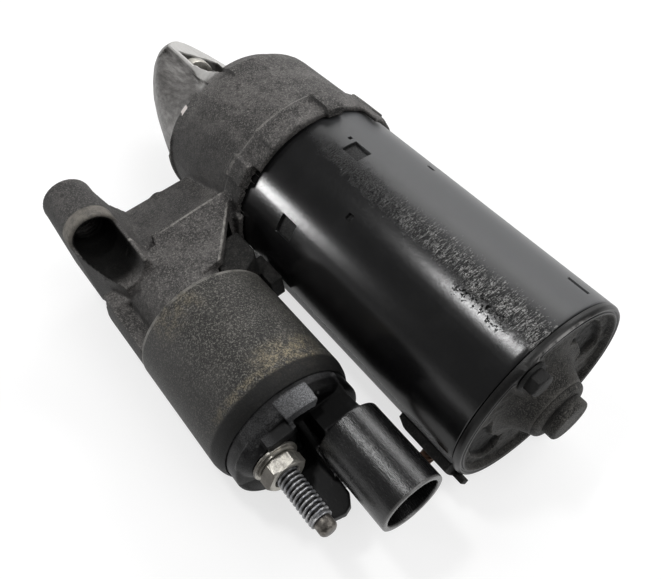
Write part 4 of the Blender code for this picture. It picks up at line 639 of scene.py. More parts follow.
def black_paint():
    """Gloss black paint: a dusty film and a painted sheen on one side, brushed scuffs along its edge and a
    dull underside.
    """
    look = Finish("black_paint")
    angle = look.around()
    along = look.axis("X")
    peel = look.noise(1.2, 3.0, 0.6)
    dust = look.noise(16.0, 6.0, 0.65, seed=1.0)
    grit = look.noise(0.5, 3.0, 0.8, seed=21.0)
    strokes = look.noise(0.34, 3.0, 0.70, stretch=(1.0, 5.0, 5.0), seed=7.0)
    ragged = look.spread(look.noise(6.0, 5.0, 0.75, seed=14.0), -8.0, 8.0)
    frayed = look.spread(strokes, -7.0, 7.0)
    wander = look.total(angle, look.total(ragged, frayed))
    # The scuffed band widens from the front to the rear
    lower = look.total(108.0, look.times(along, 0.055))
    under = look.less(lower, wander)
    band = look.times(look.ramp(under, -1.0, 8.0), look.ramp(wander, 84.0, 93.0),
                      look.ramp(along, -117.0, -104.0))
    broken = look.ramp(look.noise(4.5, 5.0, 0.75, seed=9.0), 0.34, 0.58)
    worn = look.times(band, look.spread(broken, 0.30, 1.0))
    dense = look.total(strokes, look.times(look.less(worn, 1.0), 0.16))
    lines = look.times(look.ramp(dense, 0.42, 0.58), look.ramp(grit, 0.30, 0.54),
                       look.ramp(worn, 0.02, 0.30))
    base = look.mix(look.ramp(dust, 0.45, 0.75), (0.0060, 0.0060, 0.0063), (0.0115, 0.0115, 0.0118))
    # Paler on the upper side towards +Y: partly a film of dust, partly painted sheen
    dust_and_sheen = look.ramp(look.total(angle, look.times(frayed, 0.5)), 99.0, 58.0)
    base = look.over(base, (0.064, 0.066, 0.070), dust_and_sheen, look.spread(dust, 0.55, 0.95))
    scuff = look.mix(look.ramp(along, -90.0, -25.0), (0.032, 0.0315, 0.031), (0.42, 0.415, 0.405))
    base = look.over(base, scuff, lines, 0.9)
    base = look.over(base, (0.003, 0.003, 0.003), worn, look.ramp(grit, 0.56, 0.44), 0.85)
    specks = look.times(look.ramp(look.noise(0.7, 2.0, 0.6, seed=11.0), 0.75, 0.80), 0.22)
    base = look.mix(specks, base, (0.16, 0.157, 0.15))
    # Flaked paint under the rear of the band
    flaked = look.times(look.near(wander, 103.5, 2.0, 2.0), look.near(along, -21.0, 7.0, 5.0))
    flakes = look.times(flaked, look.ramp(look.noise(0.9, 3.0, 0.7, seed=31.0), 0.52, 0.56))
    base = look.mix(flakes, base, (0.002, 0.002, 0.002))
    # Painted shade: the floors of the pressed dimples darker, with less sheen and shine
    pressed = look.ramp(look.off_axis((0.0, 0.0)), YOKE_RADIUS - 0.3, YOKE_RADIUS - 0.6)
    floor = look.mix(look.ramp(grit, 0.42, 0.62), (0.003, 0.003, 0.003), (0.034, 0.034, 0.034))
    base = look.over(base, floor, pressed, 0.85)
    misted = look.ramp(look.total(angle, frayed), 101.0, 82.0)
    gloss = look.blend(misted, look.spread(peel, 0.16, 0.26), look.spread(dust, 0.36, 0.48))
    gloss = look.blend(pressed, gloss, 0.5)
    rough = look.blend(worn, gloss, look.spread(strokes, 0.22, 0.50))
    rough = look.blend(flakes, rough, 0.9)
    # Shine turned down towards the underside: painted shade, so the pale floor shows less in it
    dull = look.times(look.ramp(look.axis("Z"), 17.0, 3.0), 0.75)
    pitted = look.times(worn, look.ramp(grit, 0.58, 0.44))
    shine = look.times(look.less(0.5, look.times(dull, 0.5)), look.spread(flakes, 1.0, 0.1),
                       look.spread(pressed, 1.0, 0.35), look.spread(pitted, 1.0, 0.2))
    look.bump((peel, 0.018), (grit, 0.016), (lines, 0.07), (flakes, -0.12))
    sheen = look.times(look.ramp(angle, 88.0, 50.0), look.spread(pressed, 0.75, 0.1))
    return look.done(base, rough, 0.0, IOR=1.5, Specular_IOR_Level=shine, Sheen_Weight=sheen,
                     Sheen_Roughness=0.3)


def grey_steel():
    """Dull phosphated steel, speckled, with a warm bloom and painted shade on the rolled rear edge."""
    look = Finish("grey_steel")
    along = look.axis("X")
    centre = middle("solenoid_can")
    angle = look.around(centre)
    grain = look.noise(0.62, 3.0, 0.85)
    cloud = look.noise(11.0, 5.0, 0.6, seed=2.0)
    base = look.mix(look.ramp(cloud, 0.34, 0.68), (0.016, 0.0155, 0.0145), (0.042, 0.040, 0.037))
    base = look.over(base, (0.186, 0.178, 0.161), look.ramp(grain, 0.50, 0.60), 0.95)
    soot = look.ramp(look.noise(0.7, 4.0, 0.8, seed=8.0), 0.50, 0.60)
    base = look.over(base, (0.008, 0.0075, 0.007), soot, 0.8)
    bloom = look.times(look.near(along, -51.5, 1.5, 9.0), look.near(angle, 66.0, 12.0, 24.0))
    rim = look.times(look.near(along, -50.6, 0.8, 2.2), look.near(angle, 96.0, 40.0, 16.0), 0.6)
    fleck = look.times(look.near(along, -90.0, 3.0, 6.0), look.near(angle, 112.0, 10.0, 18.0), 0.45)
    warm = look.most(bloom, rim, fleck)
    warm = look.times(warm, look.ramp(grain, 0.40, 0.58),
                      look.ramp(look.noise(3.5, 4.0, 0.7, seed=17.0), 0.38, 0.60))
    base = look.over(base, (0.31, 0.262, 0.170), warm, 0.8)
    # Painted shade: darker on faces turned towards -Y and downwards
    shaded = look.times(look.ramp(look.facing((0.0, -1.0, -0.2)), 0.1, 0.8), 0.55)
    base = look.mix(shaded, base, (0.012, 0.0115, 0.011))
    # Painted shade: the rolled rear edge, facing away from the light, near black and without metal
    rolled = look.ramp(along, -50.0, -48.2)
    base = look.over(base, (0.005, 0.005, 0.005), rolled, 0.93)
    front = look.times(look.near(along, -94.6, 0.7, 0.5), look.ramp(cloud, 0.40, 0.60))
    base = look.over(base, (0.26, 0.25, 0.23), front, 0.6)
    look.bump((grain, 0.17), (cloud, 0.12))
    metal = look.blend(rolled, 0.30, 0.0)
    shine = look.blend(rolled, 0.4, 0.22)
    return look.done(base, look.spread(grain, 0.42, 0.70), metal, Specular_IOR_Level=shine)


def zinc_steel():
    """Plated fasteners gone dull, with grime down in their creases."""
    look = Finish("zinc_steel")
    cloud = look.noise(2.5, 5.0, 0.65)
    fine = look.noise(0.35, 3.0, 0.7, seed=4.0)
    base = look.mix(look.ramp(cloud, 0.38, 0.64), (0.22, 0.21, 0.195), (0.52, 0.50, 0.45))
    base = look.over(base, (0.09, 0.078, 0.062), look.ramp(fine, 0.50, 0.66), 0.65)
    base = look.mix(look.hollows(0.50, 0.45), base, (0.012, 0.011, 0.010))
    base = look.over(base, (0.55, 0.53, 0.48), look.edges(), 0.6)
    # Painted shade: darker on facets turned to the left, towards -Y
    shaded = look.times(look.ramp(look.facing((0.2, -1.0, 0.05)), 0.30, 0.75), 0.85)
    base = look.mix(shaded, base, (0.060, 0.053, 0.045))
    look.bump((fine, 0.03))
    return look.done(base, look.spread(cloud, 0.28, 0.52), 0.8)


def stud_steel():
    """Blued steel of the terminal studs, black with grime between the threads."""
    look = Finish("stud_steel")
    centre = middle("battery_stud")
    cloud = look.noise(3.0, 4.0, 0.65)
    fine = look.noise(0.3, 3.0, 0.7, seed=4.0)
    depth = look.ramp(look.off_axis(centre), STUD_RADIUS - THREAD_DEPTH, STUD_RADIUS - 0.1)
    crest = look.mix(look.ramp(cloud, 0.38, 0.64), (0.20, 0.205, 0.22), (0.42, 0.42, 0.425))
    crest = look.over(crest, (0.10, 0.09, 0.08), look.ramp(fine, 0.52, 0.68), 0.6)
    threads = look.mix(depth, (0.012, 0.0115, 0.011), crest)
    point = look.mix(look.ramp(cloud, 0.40, 0.62), (0.060, 0.054, 0.048), (0.20, 0.185, 0.165))
    base = look.mix(look.ramp(look.axis("X"), -8.4, -7.8), threads, point)
    look.bump((fine, 0.03))
    return look.done(base, look.spread(cloud, 0.30, 0.50), 0.75)


def hard_steel():
    """Ground and oiled steel of shafts, gears and springs."""
    look = Finish("hard_steel")
    grind = look.noise(0.25, 3.0, 0.6, stretch=(0.5, 3.0, 3.0))
    oil = look.noise(6.0, 4.0, 0.6, seed=3.0)
    base = look.mix(look.ramp(oil, 0.40, 0.65), (0.055, 0.052, 0.05), (0.22, 0.215, 0.21))
    base = look.over(base, (0.36, 0.35, 0.34), look.ramp(grind, 0.5, 0.7), 0.4)
    look.bump((grind, 0.01))
    return look.done(base, look.spread(oil, 0.25, 0.45), 0.9)


def black_plastic():
    """Moulded black nylon: greasy and bright on the shroud, matt on the cup, dusty on the raised pad, with
    a painted highlight towards its +Y end.
    """
    look = Finish("black_plastic")
    along = look.axis("X")
    centre = middle("solenoid_can")
    angle = look.around(centre)
    cloud = look.noise(8.0, 5.0, 0.6)
    fine = look.noise(0.4, 3.0, 0.8, seed=6.0)
    scratch = look.noise(0.5, 3.0, 0.75, stretch=(6.0, 0.8, 0.8), seed=2.0)
    base = look.mix(look.ramp(cloud, 0.40, 0.70), (0.0028, 0.0028, 0.0031), (0.0070, 0.0070, 0.0072))
    base = look.over(base, (0.075, 0.073, 0.070), look.ramp(scratch, 0.58, 0.74), 0.35)
    dust = look.times(look.ramp(fine, 0.55, 0.68), 0.18)
    base = look.mix(dust, base, (0.060, 0.058, 0.054))
    shroud_off = look.off_axis((centre[0] + SHROUD_OUT, centre[1] + SHROUD_UP))
    shroud = look.times(look.ramp(shroud_off, 13.2, 12.4),
                        look.ramp(along, SHROUD_FRONT - 1.0, SHROUD_FRONT))
    off = look.off_axis(centre)
    pad = look.times(look.near(angle, 83.5, 14.0, 1.0), look.ramp(off, 20.0, 21.0),
                     look.ramp(along, -42.0, -41.0))
    # Dust on the raised pad, paler towards +Y as a painted highlight
    highlight_side = look.spread(look.ramp(angle, 102.0, 70.0), 0.25, 1.0)
    dust_and_highlight = look.times(pad, highlight_side, look.spread(look.ramp(fine, 0.44, 0.62), 0.25, 1.0),
                        look.spread(cloud, 0.5, 1.0))
    base = look.mix(dust_and_highlight, base, (0.36, 0.365, 0.38))
    ring_dust = look.times(look.ramp(off, 22.0, 23.4), look.ramp(fine, 0.40, 0.60),
                           look.ramp(cloud, 0.36, 0.60), 0.5)
    base = look.over(base, (0.070, 0.070, 0.072), ring_dust, look.ramp(shroud, 0.5, 0.0))
    neck = look.times(look.near(along, -34.0, 6.0, 1.0), look.ramp(shroud, 0.5, 0.0),
                      look.ramp(pad, 0.5, 0.0), look.ramp(angle, 104.0, 90.0))
    base = look.over(base, (0.002, 0.002, 0.002), neck, 0.8)
    mouth = look.times(shroud, look.ramp(along, 4.0, 4.7))
    base = look.over(base, (0.115, 0.113, 0.110), mouth, 0.75)
    base = look.over(base, (0.09, 0.09, 0.09), look.edges(0.53, 0.60), 0.35)
    look.bump((look.noise(0.5, 3.0, 0.7, seed=4.0), look.blend(shroud, 0.03, 0.06)), (scratch, 0.06))
    rough = look.blend(shroud, look.spread(cloud, 0.34, 0.50), look.spread(scratch, 0.14, 0.38))
    shine = look.blend(shroud, look.spread(neck, 0.14, 0.04), 0.66)
    return look.done(base, rough, 0.0, IOR=1.5, Specular_IOR_Level=shine)


def dark_casting():
    """Grey-black rear cover under a film of road dust."""
    look = Finish("dark_casting")
    grain = look.noise(0.45, 3.0, 0.8)
    cloud = look.noise(6.0, 5.0, 0.7, seed=2.0)
    off = look.off_axis((0.0, 0.0))
    base = look.mix(look.ramp(cloud, 0.38, 0.62), (0.007, 0.0068, 0.0064), (0.040, 0.038, 0.035))
    base = look.over(base, (0.130, 0.124, 0.114), look.ramp(grain, 0.49, 0.62), 0.85)
    worn = look.times(look.ramp(off, 16.0, 11.0), look.ramp(cloud, 0.36, 0.62),
                      look.ramp(grain, 0.44, 0.62), 0.75)
    base = look.mix(worn, base, (0.130, 0.124, 0.112))
    base = look.over(base, (0.005, 0.0048, 0.0045), look.hollows(0.485, 0.43), 0.9)
    base = look.over(base, (0.21, 0.20, 0.185), look.edges(0.52, 0.58), 0.5)
    pit = look.times(look.ramp(look.axis("X"), 0.0, -0.8), look.ramp(off, 19.0, 20.5))
    base = look.over(base, (0.004, 0.004, 0.0038), pit, 0.85)
    painted = look.ramp(off, 35.0, 35.6)
    base = look.over(base, (0.006, 0.006, 0.0063), painted, 0.9)
    # Pale line on the outer rim near the top: partly rubbed paint, partly painted highlight
    rim = look.times(look.near(off, 36.9, 0.5, 0.4), look.near(look.around(), 90.0, 14.0, 9.0),
                     look.ramp(cloud, 0.38, 0.58))
    base = look.over(base, (0.40, 0.39, 0.38), rim, 0.8)
    rough = look.blend(painted, look.spread(grain, 0.50, 0.80), look.spread(grain, 0.26, 0.46))
    look.bump((grain, look.blend(painted, 0.26, 0.03)), (cloud, look.blend(painted, 0.9, 0.1)))
    return look.done(base, rough, 0.1, Specular_IOR_Level=look.blend(painted, 0.3, 0.26))


def rubber():
    """Old black rubber, crazed and gritty."""
    look = Finish("rubber")
    bloom = look.noise(3.0, 5.0, 0.7)
    grit = look.noise(0.5, 3.0, 0.8, seed=3.0)
    base = look.mix(look.ramp(bloom, 0.42, 0.66), (0.005, 0.005, 0.0048), (0.020, 0.019, 0.018))
    base = look.over(base, (0.070, 0.067, 0.062), look.ramp(grit, 0.52, 0.66), 0.6)
    look.bump((grit, 0.16), (bloom, 0.5))
    return look.done(base, look.spread(bloom, 0.60, 0.88), 0.0, Specular_IOR_Level=0.25)


def copper():
    """Tarnished copper."""
    look = Finish("copper")
    tarnish = look.noise(3.0, 5.0, 0.65)
    base = look.mix(look.ramp(tarnish, 0.40, 0.66), (0.55, 0.22, 0.10), (0.20, 0.085, 0.045))
    look.bump((look.noise(0.4, 3.0, 0.6, seed=2.0), 0.02))
    return look.done(base, look.spread(tarnish, 0.28, 0.52), 0.95)


def old_copper():
    """Copper strands black with oil, bare along their tops."""
    look = Finish("old_copper")
    tarnish = look.noise(2.0, 5.0, 0.7)
    base = look.mix(look.ramp(tarnish, 0.42, 0.62), (0.013, 0.011, 0.010), (0.055, 0.030, 0.020))
    base = look.over(base, (0.22, 0.11, 0.06), look.edges(), 0.35)
    look.bump((look.noise(0.4, 3.0, 0.6, seed=2.0), 0.03))
    return look.done(base, look.spread(tarnish, 0.40, 0.65), 0.6)


def bronze():
    """Porous bearing bronze."""
    look = Finish("bronze")
    pores = look.cells(0.5)
    cloud = look.noise(3.0, 4.0, 0.6)
    base = look.mix(look.ramp(cloud, 0.4, 0.65), (0.42, 0.25, 0.10), (0.22, 0.13, 0.06))
    look.bump((pores, 0.03))
    return look.done(base, look.spread(cloud, 0.30, 0.50), 0.9)


def sintered(name, dark, light, metallic):
    """Pressed powder pieces: magnets and brushes."""
    look = Finish(name)
    grain = look.noise(0.4, 3.0, 0.7)
    cloud = look.noise(6.0, 4.0, 0.6, seed=2.0)
    base = look.over(dark, light, look.ramp(grain, 0.35, 0.7), cloud)
    look.bump((grain, 0.04))
    return look.done(base, look.spread(grain, 0.5, 0.75), metallic)


def lamination():
    """Stacked sheet steel: fine lines across the axis."""
    look = Finish("lamination")
    sheet = look.noise(0.5, 1.0, 0.4, stretch=(0.5, 60.0, 60.0))
    base = look.mix(look.ramp(sheet, 0.35, 0.65), (0.12, 0.12, 0.125), (0.32, 0.32, 0.33))
    look.bump((sheet, 0.05))
    return look.done(base, look.spread(sheet, 0.35, 0.6), 0.85)


def gear_plastic():
    """Cream moulded plastic smeared with grease."""
    look = Finish("gear_plastic")
    cloud = look.noise(5.0, 4.0, 0.6)
    grease = look.ramp(look.noise(3.0, 4.0, 0.65, seed=4.0), 0.5, 0.7)
    base = look.mix(look.ramp(cloud, 0.4, 0.7), (0.50, 0.46, 0.38), (0.40, 0.36, 0.28))
    base = look.over(base, (0.13, 0.10, 0.06), grease, 0.7)
    look.bump((look.noise(0.6, 2.0, 0.5, seed=2.0), 0.02))
    return look.done(base, look.spread(cloud, 0.35, 0.55))


FINISHES = {finish.__name__: finish() for finish in (
    cast_aluminium, black_paint, dark_casting, grey_steel, zinc_steel, hard_steel, stud_steel, old_copper,
    black_plastic, rubber, copper, bronze, lamination, gear_plastic)}
FINISHES["ferrite"] = sintered("ferrite", (0.03, 0.03, 0.033), (0.09, 0.09, 0.095), 0.2)
FINISHES["carbon"] = sintered("carbon", (0.02, 0.019, 0.018), (0.10, 0.075, 0.06), 0.3)


def paint_frame():
    """Give every CAD node the finish of its slot."""
    for part in frame["record"]["subparts"]:
        data = frame["nodes"][part["node"]].data
        data.materials.clear()
        data.materials.append(FINISHES[part["material_slot"]])


def yoke_shell():
    """Painted tube with its pressed dimples, a rounded rear rim and the slot of the lead grommet."""
    low, high = span("field_frame")
    xs = {low.x + (high.x - low.x) * i / YOKE_ROWS for i in range(YOKE_ROWS + 1)}
    turns = {360.0 / YOKE_COLUMNS * i for i in range(YOKE_COLUMNS)}
    xs.update((GROMMET_FRONT, high.x - YOKE_ROUNDING, high.x - 0.5 * YOKE_ROUNDING,
               high.x - 0.2 * YOKE_ROUNDING))
    turns.update((GROMMET_ANGLE - GROMMET_HALF_ARC, GROMMET_ANGLE + GROMMET_HALF_ARC))
    for x, angle, length, width in DIMPLES:
        for off in (0.0, DIMPLE_EDGE):
            half_turn = math.degrees((width / 2 - off) / YOKE_RADIUS)
            xs.update((x - length / 2 + off, x + length / 2 - off))
            turns.update((angle - half_turn, angle + half_turn))
    xs = sorted(xs)
    turns = sorted(turns)

    def depth(x, turn):
        deepest = 0.0
        for place, angle, length, width in DIMPLES:
            inside = min(length / 2 - abs(x - place),
                         width / 2 - math.radians(abs(turn - angle)) * YOKE_RADIUS)
            deepest = max(deepest, DIMPLE_DEPTH * min(1.0, max(0.0, inside / DIMPLE_EDGE)))
        rim = max(0.0, (x - high.x + YOKE_ROUNDING) / YOKE_ROUNDING)
        return deepest + YOKE_ROUNDING * (1.0 - math.sqrt(max(0.0, 1.0 - rim * rim)))

    mesh = bmesh.new()
    outer = [[mesh.verts.new(spot(x, YOKE_RADIUS - depth(x, turn), math.radians(turn)))
              for turn in turns] for x in xs]
    inner = [[mesh.verts.new(spot(x, YOKE_RADIUS - YOKE_WALL, math.radians(turn)))
              for turn in turns] for x in xs]

    def solid(i, j):
        if not 0 <= i < len(xs) - 1:
            return False
        following = turns[(j + 1) % len(turns)] + (360.0 if j + 1 == len(turns) else 0.0)
        mid_turn = (turns[j] + following) / 2
        mid_x = (xs[i] + xs[i + 1]) / 2
        return not (mid_x > GROMMET_FRONT and abs(mid_turn - GROMMET_ANGLE) < GROMMET_HALF_ARC)

    count = len(turns)
    for i in range(len(xs) - 1):
        for j in range(count):
            if not solid(i, j):
                continue
            k = (j + 1) % count
            corners = ((i, j), (i, k), (i + 1, k), (i + 1, j))
            mesh.faces.new([outer[a][b] for a, b in corners])
            mesh.faces.new([inner[a][b] for a, b in reversed(corners)])
            around = ((i - 1, j), (i, k), (i + 1, j), (i, (j - 1) % count))
            for side, beyond in enumerate(around):
                if not solid(*beyond):
                    (a, b), (c, d) = corners[side], corners[(side + 1) % 4]
                    mesh.faces.new((outer[a][b], inner[a][b], inner[c][d], outer[c][d]))
    loose = [vertex for vertex in mesh.verts if not vertex.link_faces]
    bmesh.ops.delete(mesh, geom=loose, context="VERTS")
    bmesh.ops.recalc_face_normals(mesh, faces=mesh.faces)
    put("yoke_shell", mesh, "black_paint", ["field_frame"])


def smooth_step(value, low, high):
    """0 at low, 1 at high and smooth between them; low may be the larger one."""
    t = max(0.0, min(1.0, (value - low) / (high - low)))
    return t * t * (3.0 - 2.0 * t)


def eye_thread(centre):
    """Screw thread standing inside the bore of the mounting eye."""
    rings = []
    front = EYE_FRONT + EYE_THREAD_INSET
    rows = int((EYE_MOUTH - EYE_FRONT - EYE_THREAD_SHORT) / EYE_PITCH * ROWS_PER_PITCH)
    for row in range(rows + 1):
        x = front + row * EYE_PITCH / ROWS_PER_PITCH

        def radius(turn, x=x):
            phase = (x / EYE_PITCH - turn / math.tau) % 1.0
            return EYE_BORE + 0.1 - EYE_THREAD * max(0.0, 1.0 - 2.2 * abs(2.0 * phase - 1.0))

        rings.append(ring(x, radius, EYE_THREAD_STEPS, centre))
    rear = rings[-1][0][0]
    rings += [ring(x, EYE_BORE + 0.6, EYE_THREAD_STEPS, centre) for x in (rear, front)]
    return loft(rings, closed=True)


def nose_limit(x, turn):
    """Greatest radius of the nose at an angle: a low side by the window that swells into the drum."""
    if turn < FULL_SIDE:
        return DRUM_RADIUS + 0.2 - 4.2 * smooth_step(x, -167.0, -178.0)
    swell = smooth_step(x, SWELL_FRONT, SWELL_REAR)
    hump = NOSE_RIM + (DRUM_RADIUS + 0.4 - NOSE_RIM) * swell
    return hump + (DRUM_RADIUS + 1.4 - hump) * smooth_step(turn, HUMP_FROM, HUMP_TO)


def trim_nose(mesh):
    """Draw the skin of the nose in to its rounded outline."""
    for vertex in mesh.verts:
        x, y, z = vertex.co
        turn = math.degrees(math.atan2(z, y))
        if x > SWELL_REAR or not 20.0 < turn < HUMP_TO:
            continue
        radius = math.hypot(y, z)
        limit = nose_limit(x, turn)
        if radius > NOSE_REACH:
            continue
        drawn = min(radius, limit)
        if x < NOSE_REAR and radius > NOSE_RIM - 0.3 and turn > HUMP_FROM:
            ease = max(0.0, NOSE_EASE - abs(radius - limit)) / NOSE_EASE
            drawn -= ease * ease * NOSE_EASE / 4
        vertex.co = (x, y * drawn / radius, z * drawn / radius)
    mesh.normal_update()
    return mesh


def clear_fork(mesh):
    """Square up the inner corners of the drum wall where the fork swings close by."""
    front, rear = FORK_ROOM
    for vertex in mesh.verts:
        x, y, z = vertex.co
        if front < x < rear and FORK_WALL < y < FORK_WALL + 0.65 and abs(z) < FORK_SIDE:
            vertex.co.y = FORK_WALL
    return mesh


def housing_casting():
    """Drive end housing: the CAD casting with lips, ridges, lugs, rounded edges and the eye's thread."""
    solenoid = middle("solenoid_can")
    eye = (solenoid[0] - EYE_OUT, solenoid[1] + EYE_UP)
    lip = [(NOSE_REAR - 4.4, 35.0), (NOSE_REAR - 4.0, 37.2), (NOSE_REAR - 2.0, 39.1),
           (NOSE_REAR + 0.4, 39.2), (NOSE_REAR + 0.6, 36.0)]
    collar = [(-131.6, COLLAR_ROOT), (-131.4, 41.3), (-130.4, 42.1), (-128.4, 42.1), (-127.4, 41.4),
              (-120.6, 41.4), (-119.4, 40.8), (-119.4, COLLAR_ROOT)]
    lug = [(-130.6, COLLAR_ROOT), (-130.2, 43.0), (-129.2, 43.5), (-119.0, 43.3), (-117.6, 42.4),
           (-117.6, COLLAR_ROOT)]
    tab = [(-123.0, COLLAR_ROOT), (-123.0, 41.0), (-112.0, 40.8), (-110.4, 40.2), (-110.4, COLLAR_ROOT)]
    roof_top = span("lever_seal")[1].z + 4.3
    counterbore = band(-150.0, -143.0, 0.2, EYE_COUNTERBORE)
    body = carved(cad_copy("drive_housing"), turned(counterbore, MEDIUM, eye, 0.2, False))
    body = carved(body, sector(band(-122.6, -118.0, YOKE_RADIUS + 0.25, 48.0), 129.0, 160.0, 24))
    roof = [(-147.0, EYE_COUNTERBORE), (-147.0, EYE_RADIUS + 0.1), (EYE_ROOF - 0.8, EYE_RADIUS + 0.1),
            (EYE_ROOF, EYE_RADIUS - 0.5), (EYE_ROOF, EYE_COUNTERBORE)]
    ramp = [-176.0 - 3.0 * i for i in range(12)]
    swell = [(ramp[0], 15.6)] + [(x, nose_limit(x, 98.0) - 0.05) for x in ramp] + [(ramp[-1], 15.6)]
    shells = [body, sector(lip, 134.0, 212.0), sector(collar, 74.0, 129.0),
              sector(roof, -12.0, 192.0, 48, eye), sector(swell, 98.0, 127.0, 24),
              sector(lug, 69.5, 80.0, 12), sector(tab, 45.0, 52.5, 10),
              slab(SEAT_PLATE, lambda x: roof_top, 3.0),
              turned([(-163.4, 0.2), (-163.4, 3.8), (-155.0, 3.4), (-155.0, 0.2)], 32, (-54.6, 2.2), 1.6),
              sweep([(-127.0, -69.2, 17.0), (-112.0, -69.6, 17.2), (-98.0, -70.2, 16.6)], 2.6, 16)]
    # Ribs down the side of the eye and the rim of its trough
    for x, rise, first in ((-140.0, 0.9, 200.0), (-128.0, 0.7, 232.0)):
        rib = [(x, 8.6), (x + 0.4, EYE_RADIUS + rise), (x + 2.4, EYE_RADIUS + rise), (x + 2.8, 8.6)]
        shells.append(sector(rib, first, 300.0, 20, eye))
    casting = clear_fork(trim_nose(softened(merged(*shells), 0.6, 2)))
    put("housing_casting", merged(casting, eye_thread(eye)), "cast_aluminium", ["drive_housing"])


def cover_height(radius, turn, face, boss, knob):
    """Height of the rear cover over its radius and angle: rim, dish, pockets, spokes, boss and knob."""
    waves = ((0.5, 5.0, 1.0), (0.3, 13.0, 0.0), (0.2, 29.0, radius))
    rough = sum(size * math.sin(count * turn + shift) for size, count, shift in waves)
    height = face - 0.5
    lumps = Vector((radius * math.cos(turn), radius * math.sin(turn), 0.0)) * 0.28
    height += 0.55 * noise.noise(lumps) + 0.25 * noise.noise(lumps * 2.6)
    height += (COVER_RIM - height) * smooth_step(radius, 33.6, 35.0)
    height -= 0.55 * smooth_step(radius, 35.6, 36.0) * (1.0 - smooth_step(radius, 36.4, 36.8))
    height -= 1.1 * smooth_step(radius, 37.0, 38.0) ** 2
    for spoke in (BOLT_ANGLE, BOLT_ANGLE + 180.0):
        off = math.degrees(turn) - spoke
        off = math.radians((off + 180.0) % 360.0 - 180.0)
        side = abs(radius * math.sin(off)) if abs(off) < math.pi / 2 else 99.0
        rib = (1.0 - smooth_step(side, 4.6, 7.0)) * (1.0 - smooth_step(radius, 30.0, 37.0))
        height += (COVER_RIM + 0.3 - height) * rib
        pad = math.hypot(radius * math.cos(off) - BOLT_CIRCLE, radius * math.sin(off))
        height += (COVER_RIM + 0.4 - height) * (1.0 - smooth_step(pad, 6.3, 7.2))
        across = math.degrees(off) - 90.0
        spread = 33.0 + 1.6 * rough - 6.0 * smooth_step(radius, 27.0, 31.0)
        pocket = ((1.0 - smooth_step(abs(across), spread - 2.5, spread))
                  * smooth_step(radius, 20.6 + 0.5 * rough, 21.8 + 0.5 * rough)
                  * (1.0 - smooth_step(radius, 30.0 + 0.4 * rough, 31.2 + 0.4 * rough)))
        height -= POCKET_DEPTH * pocket
    if BOSS_RADIUS < radius < FLARE_RADIUS:
        share = (FLARE_RADIUS - radius) / (FLARE_RADIUS - BOSS_RADIUS)
        height = max(height, face - 0.5 + (boss - 1.6 - face) * share ** 2.6)
    for reach, top, soft in ((BOSS_RADIUS, boss, BOSS_ROUNDING), (KNOB_RADIUS, knob, KNOB_ROUNDING)):
        if radius < reach:
            edge = max(0.0, radius - reach + soft) / soft
            height = max(height, top - soft + soft * math.sqrt(max(0.0, 1.0 - edge * edge)))
    return height


def rear_cover():
    """Cast rear cover as a relief over the end of the motor, with its spigot behind."""
    low, high = span("end_cover")
    radius = (high.z - low.z) / 2
    face = COVER_FACE
    lines = [0.4, 3.0, 5.0, 6.4] + [7.0 + 0.14 * i for i in range(10)]
    lines += [KNOB_RADIUS - 0.01, KNOB_RADIUS + 0.01]
    lines += [8.9, 9.3] + [9.6 + 0.2 * i for i in range(12)] + [BOSS_RADIUS - 0.01, BOSS_RADIUS + 0.01]
    lines += [12.4 + 0.35 * i for i in range(60)]
    lines += [33.9 + 0.25 * i for i in range(16)] + [radius - 0.05]
    steps = 256
    knob = high.x + KNOB_RISE
    boss = knob - KNOB_HEIGHT
    rings = []
    for line in lines:
        points = []
        for i in range(steps):
            turn = math.tau * i / steps
            height = cover_height(line, turn, face, boss, knob)
            points.append(spot(height, line, turn))
        rings.append(points)
    spigot = YOKE_RADIUS - YOKE_WALL - 0.3
    back = face - 3.6
    rings += stack(((1.2, radius), (0.3, radius), (0.3, spigot), (low.x, spigot), (low.x, spigot - 3.0),
                    (back, spigot - 3.0), (back, 8.8), (high.x - 3.0, 8.8), (high.x - 3.0, 0.4)), steps)
    put("rear_cover", loft(rings), "dark_casting", ["end_cover"])


def solenoid_shell():
    """Deep-drawn can with a rolled rear edge."""
    low, high = span("solenoid_can")
    radius = (high.z - low.z) / 2
    centre = middle("solenoid_can")
    lip = radius - 2.1
    profile = [(low.x, lip - 12.0), (low.x, radius), (high.x - 5.2, radius), (high.x - 2.2, radius - 0.7),
               (high.x - 0.8, radius - 1.5), (high.x, radius - 2.0), (high.x - 0.4, lip - 0.1),
               (low.x + 3.0, lip - 0.1), (low.x + 3.0, lip - 12.0)]
    put("solenoid_shell", turned(profile, centre=centre, rounding=0.9), "grey_steel", ["solenoid_can"])


